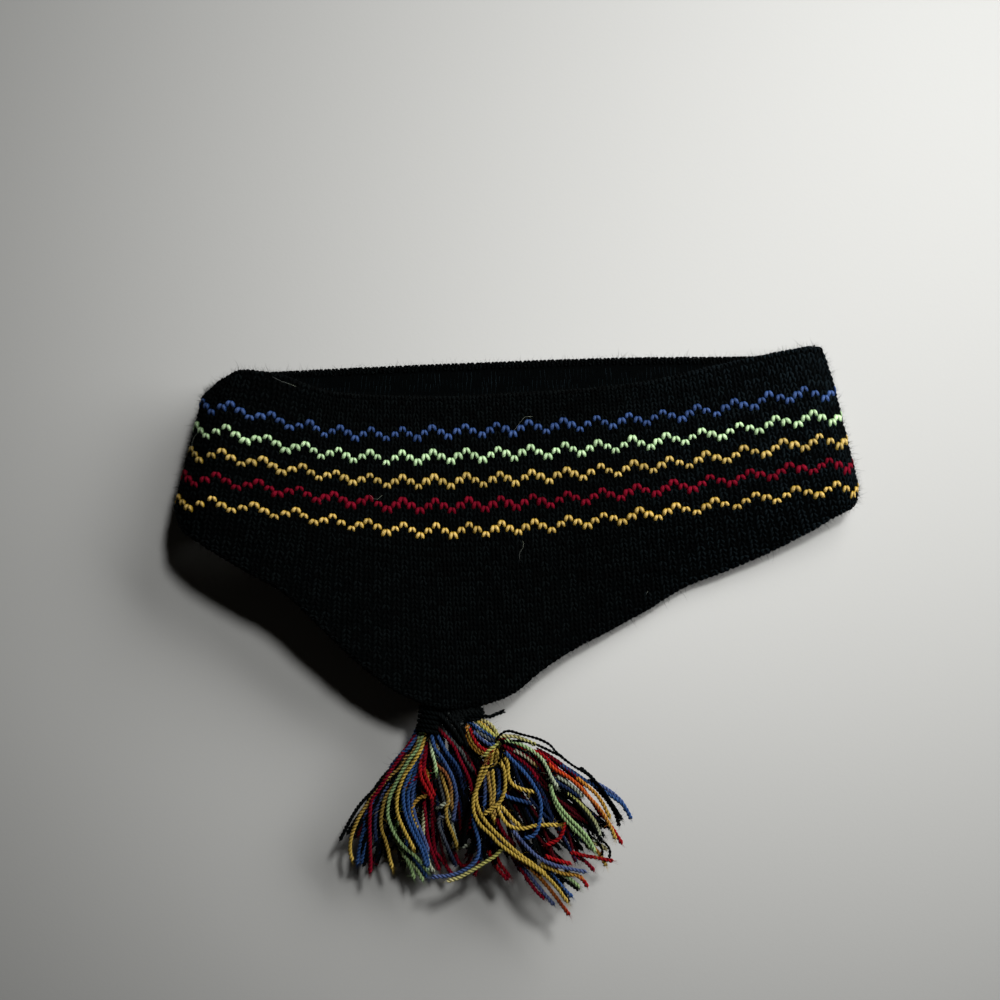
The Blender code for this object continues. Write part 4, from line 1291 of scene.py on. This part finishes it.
hair = unitHair("hair", fuzz["thickness"] / fuzz["length"], fuzz["rings"])
napHair = unitHair("napHair", fuzz["napThickness"] / fuzz["napLength"], fuzz["rings"][:1])
fuzzy = fuzzTree()


def makeFuzz(name, sources, shape, density, length):
    shell = bmesh.new()
    for source in sources:
        shell.from_mesh(source.data)
    mesh = bpy.data.meshes.new("host")
    shell.to_mesh(mesh)
    shell.free()
    host = linked(bpy.data.objects.new("host", mesh))
    piece = grown(host, fuzzy, {
        "Hair": shape, "Density": density[0], "Rim density": density[1],
        "Length": length * mm, "Seed": fuzz["seed"], "Material": fuzzWool}, name)
    # hairs that would pass through the table are left out
    shell = bmesh.new()
    shell.from_mesh(piece.data)
    shell.verts.ensure_lookup_table()
    each = len(shape.data.vertices)
    low = [vertex for start in range(0, len(shell.verts), each)
           if min(v.co.z for v in shell.verts[start:start + each]) < fuzz["lowest"]
           for vertex in shell.verts[start:start + each]]
    bmesh.ops.delete(shell, geom=low, context="VERTS")
    shell.to_mesh(piece.data)
    shell.free()
    return piece


makeFuzz("bandFuzz", [knitCore], hair, fuzz["band"], fuzz["length"])
makeFuzz("bandNap", [knitCore], napHair, fuzz["nap"], fuzz["napLength"])
makeFuzz("tasselFuzz", [bpy.data.objects[name] for name in (
    "tasselLeftTop", "tasselRightTop")], hair, fuzz["tassel"], fuzz["tasselLength"])

strays = dict(               # pale fibres caught in the wool, in pixels of the photo
    thick=0.07, lift=0.15,   # thickness, and height over the skin, mm
    wales=(-1.0, 76.0, 0.5), rows=(0.0, 62.0, 0.5),   # the front, from, to and step
    routes=(
        ((274, 378), (280, 380), (287, 382), (294, 386)),
        ((190, 470), (192, 477), (193, 484), (191, 490)),
        ((368, 495), (373, 499), (379, 499), (384, 495)),
        ((515, 430), (520, 421), (526, 417), (533, 416)),
        ((520, 560), (521, 553), (524, 547), (523, 541)),
        ((196, 455), (193, 446), (195, 438), (199, 432)),
        ((640, 600), (646, 594), (648, 586)),
    ),
)


def onBand(px, py):
    # the place of the front layer's skin that a pixel shows
    wales, rows = np.meshgrid(np.arange(*strays["wales"]), np.arange(*strays["rows"]))
    places = skin(wales, rows, -strays["lift"]).reshape(-1, 3)
    scale = photo["pixel"] * (1 - places[:, 2] / photo["height"])
    across = (places[:, 0] - photo["middle"][0]) / scale + photo["centre"] - px
    down = photo["centre"] - (places[:, 1] - photo["middle"][1]) / scale - py
    return places[np.argmin(across ** 2 + down ** 2)]


spin("strayFibres", [([onBand(*pixel) for pixel in route], "grey", "white", strays["thick"])
                     for route in strays["routes"]], yarn["thin"])
for spare in (hair, napHair, plainStitch, fineStitch, lowStitch, ribStitch, simpleStitch):
    bpy.data.objects.remove(spare, do_unlink=True)
for mesh in bpy.data.meshes:
    if "hairy" in mesh.attributes:
        mesh.attributes.remove(mesh.attributes["hairy"])
print("fuzz done")

# What each piece stands for

finishes = dict(
    black_knit=("knitCore", "knitFrontLeft", "knitFrontRight", "knitBack", "knitInside",
                "knitInsideTop", "bandNap", "bandFuzz"),
    tassel_yarn=("knitStripes", "tasselLeftTop", "tasselLeftDeep", "tasselRightTop",
                 "tasselRightDeep", "tasselTufts", "tasselFuzz"),
    black_yarn=("neckBinding", "waistThread", "sewingThread", "fanThread", "knotYarn",
                "strayFibres"),
)
standsFor = dict(
    knitCore="knit_band", tasselLeftTop="tassel_left", tasselRightTop="tassel_right",
    neckBinding="neck_wrap", waistThread="waist_tie", sewingThread="sewing_yarn",
)
for slot, names in finishes.items():
    for name in names:
        piece = bpy.data.objects[name]
        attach(piece, "root")
        if name in standsFor:
            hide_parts(standsFor[name])

# Floor, light and camera

studio = dict(
    keyFrom=(0.30, 0.58, 0.78), keyAway=1.15, keySize=0.18, keyPower=7.2,
    fillPlace=(0.42, 0.36, 0.28), fillSize=(0.74, 0.25), fillPower=5.9,
    target=(0.0, 0.02, 0.0),  # what both lamps are aimed at
    worldLight=0.005, worldTint=(1.0, 0.90, 0.74, 1.0),
    tableHalf=2.0, tableGap=0.0003, tableBlue=0.965,
    grain=900.0, grainDetail=2.0, grainStrength=0.15, grainDepth=0.0001,
    tableRoughness=0.55, tableGloss=0.25,
    # painted pool of light on the table: palest round its middle, darker further off
    paintedGlowMiddle=(0.012, 0.023, 0.0), paintedGlowReach=0.35, paintedGlowTones=(0.65, 0.235),
)


def makeFloor():
    half, z = studio["tableHalf"], -studio["tableGap"]
    table = built("tableTop", [(-half, -half, z), (half, -half, z), (half, half, z),
                               (-half, half, z)], faces=[(0, 1, 2, 3)])
    material = bpy.data.materials.new("paleTable")
    material.use_nodes = True
    tree = Tree(material.node_tree)
    tree.nodes.clear()
    place = tree.add("ShaderNodeTexCoord").out("Object")
    # painted pool of light: the table's colour falls off from a middle
    away = tree.add("ShaderNodeVectorMath", {"operation": "DISTANCE"}, {
        0: place, 1: studio["paintedGlowMiddle"]}).out("Value")
    tone = tree.add("ShaderNodeMapRange", {}, {
        "Value": away, "From Min": 0.0, "From Max": studio["paintedGlowReach"],
        "To Min": studio["paintedGlowTones"][0], "To Max": studio["paintedGlowTones"][1]})
    tint = tree.add("ShaderNodeCombineColor", {}, {
        "Red": tone, "Green": tone, "Blue": tone * studio["tableBlue"]})
    grain = tree.add("ShaderNodeTexNoise", {}, {
        "Vector": place, "Scale": studio["grain"], "Detail": studio["grainDetail"]})
    bump = tree.add("ShaderNodeBump", {}, {
        "Strength": studio["grainStrength"], "Distance": studio["grainDepth"],
        "Height": grain})
    paint = tree.add("ShaderNodeBsdfPrincipled", {}, {
        "Base Color": tint, "Roughness": studio["tableRoughness"],
        "Specular IOR Level": studio["tableGloss"], "Normal": bump})
    tree.add("ShaderNodeOutputMaterial", {}, {"Surface": paint})
    table.data.materials.append(material)


def makeLight(name, place, target, size, power, shape):
    lamp = bpy.data.lights.new(name, "AREA")
    lamp.shape, lamp.energy = shape, power
    lamp.size, lamp.size_y = size
    thing = linked(bpy.data.objects.new(name, lamp))
    thing.location = place
    thing.rotation_mode = "QUATERNION"
    thing.rotation_quaternion = (Vector(target) - Vector(place)).to_track_quat("-Z", "Y")


def makeStudio():
    makeFloor()
    target = Vector(studio["target"])
    key = target + Vector(studio["keyFrom"]).normalized() * studio["keyAway"]
    makeLight("keyLamp", key, target, (studio["keySize"], studio["keySize"]),
              studio["keyPower"], "DISK")
    makeLight("fillLamp", studio["fillPlace"], target, studio["fillSize"],
              studio["fillPower"], "RECTANGLE")
    world = bpy.data.worlds.new("room")
    world.use_nodes = True
    glow = world.node_tree.nodes["Background"]
    glow.inputs["Color"].default_value = studio["worldTint"]
    glow.inputs["Strength"].default_value = studio["worldLight"]
    bpy.context.scene.world = world
    eye = bpy.data.cameras.new("photoView")
    eye.lens, eye.sensor_width = photo["lens"], photo["sensor"]
    eye.clip_start, eye.clip_end = photo["clip"]
    view = linked(bpy.data.objects.new("photoView", eye))
    view.location = (photo["middle"][0] * mm, photo["middle"][1] * mm, photo["height"] * mm)
    bpy.context.scene.camera = view
    bpy.context.scene.view_settings.view_transform = "Standard"


makeStudio()
print("studio done")

bpy.context.view_layer.update()
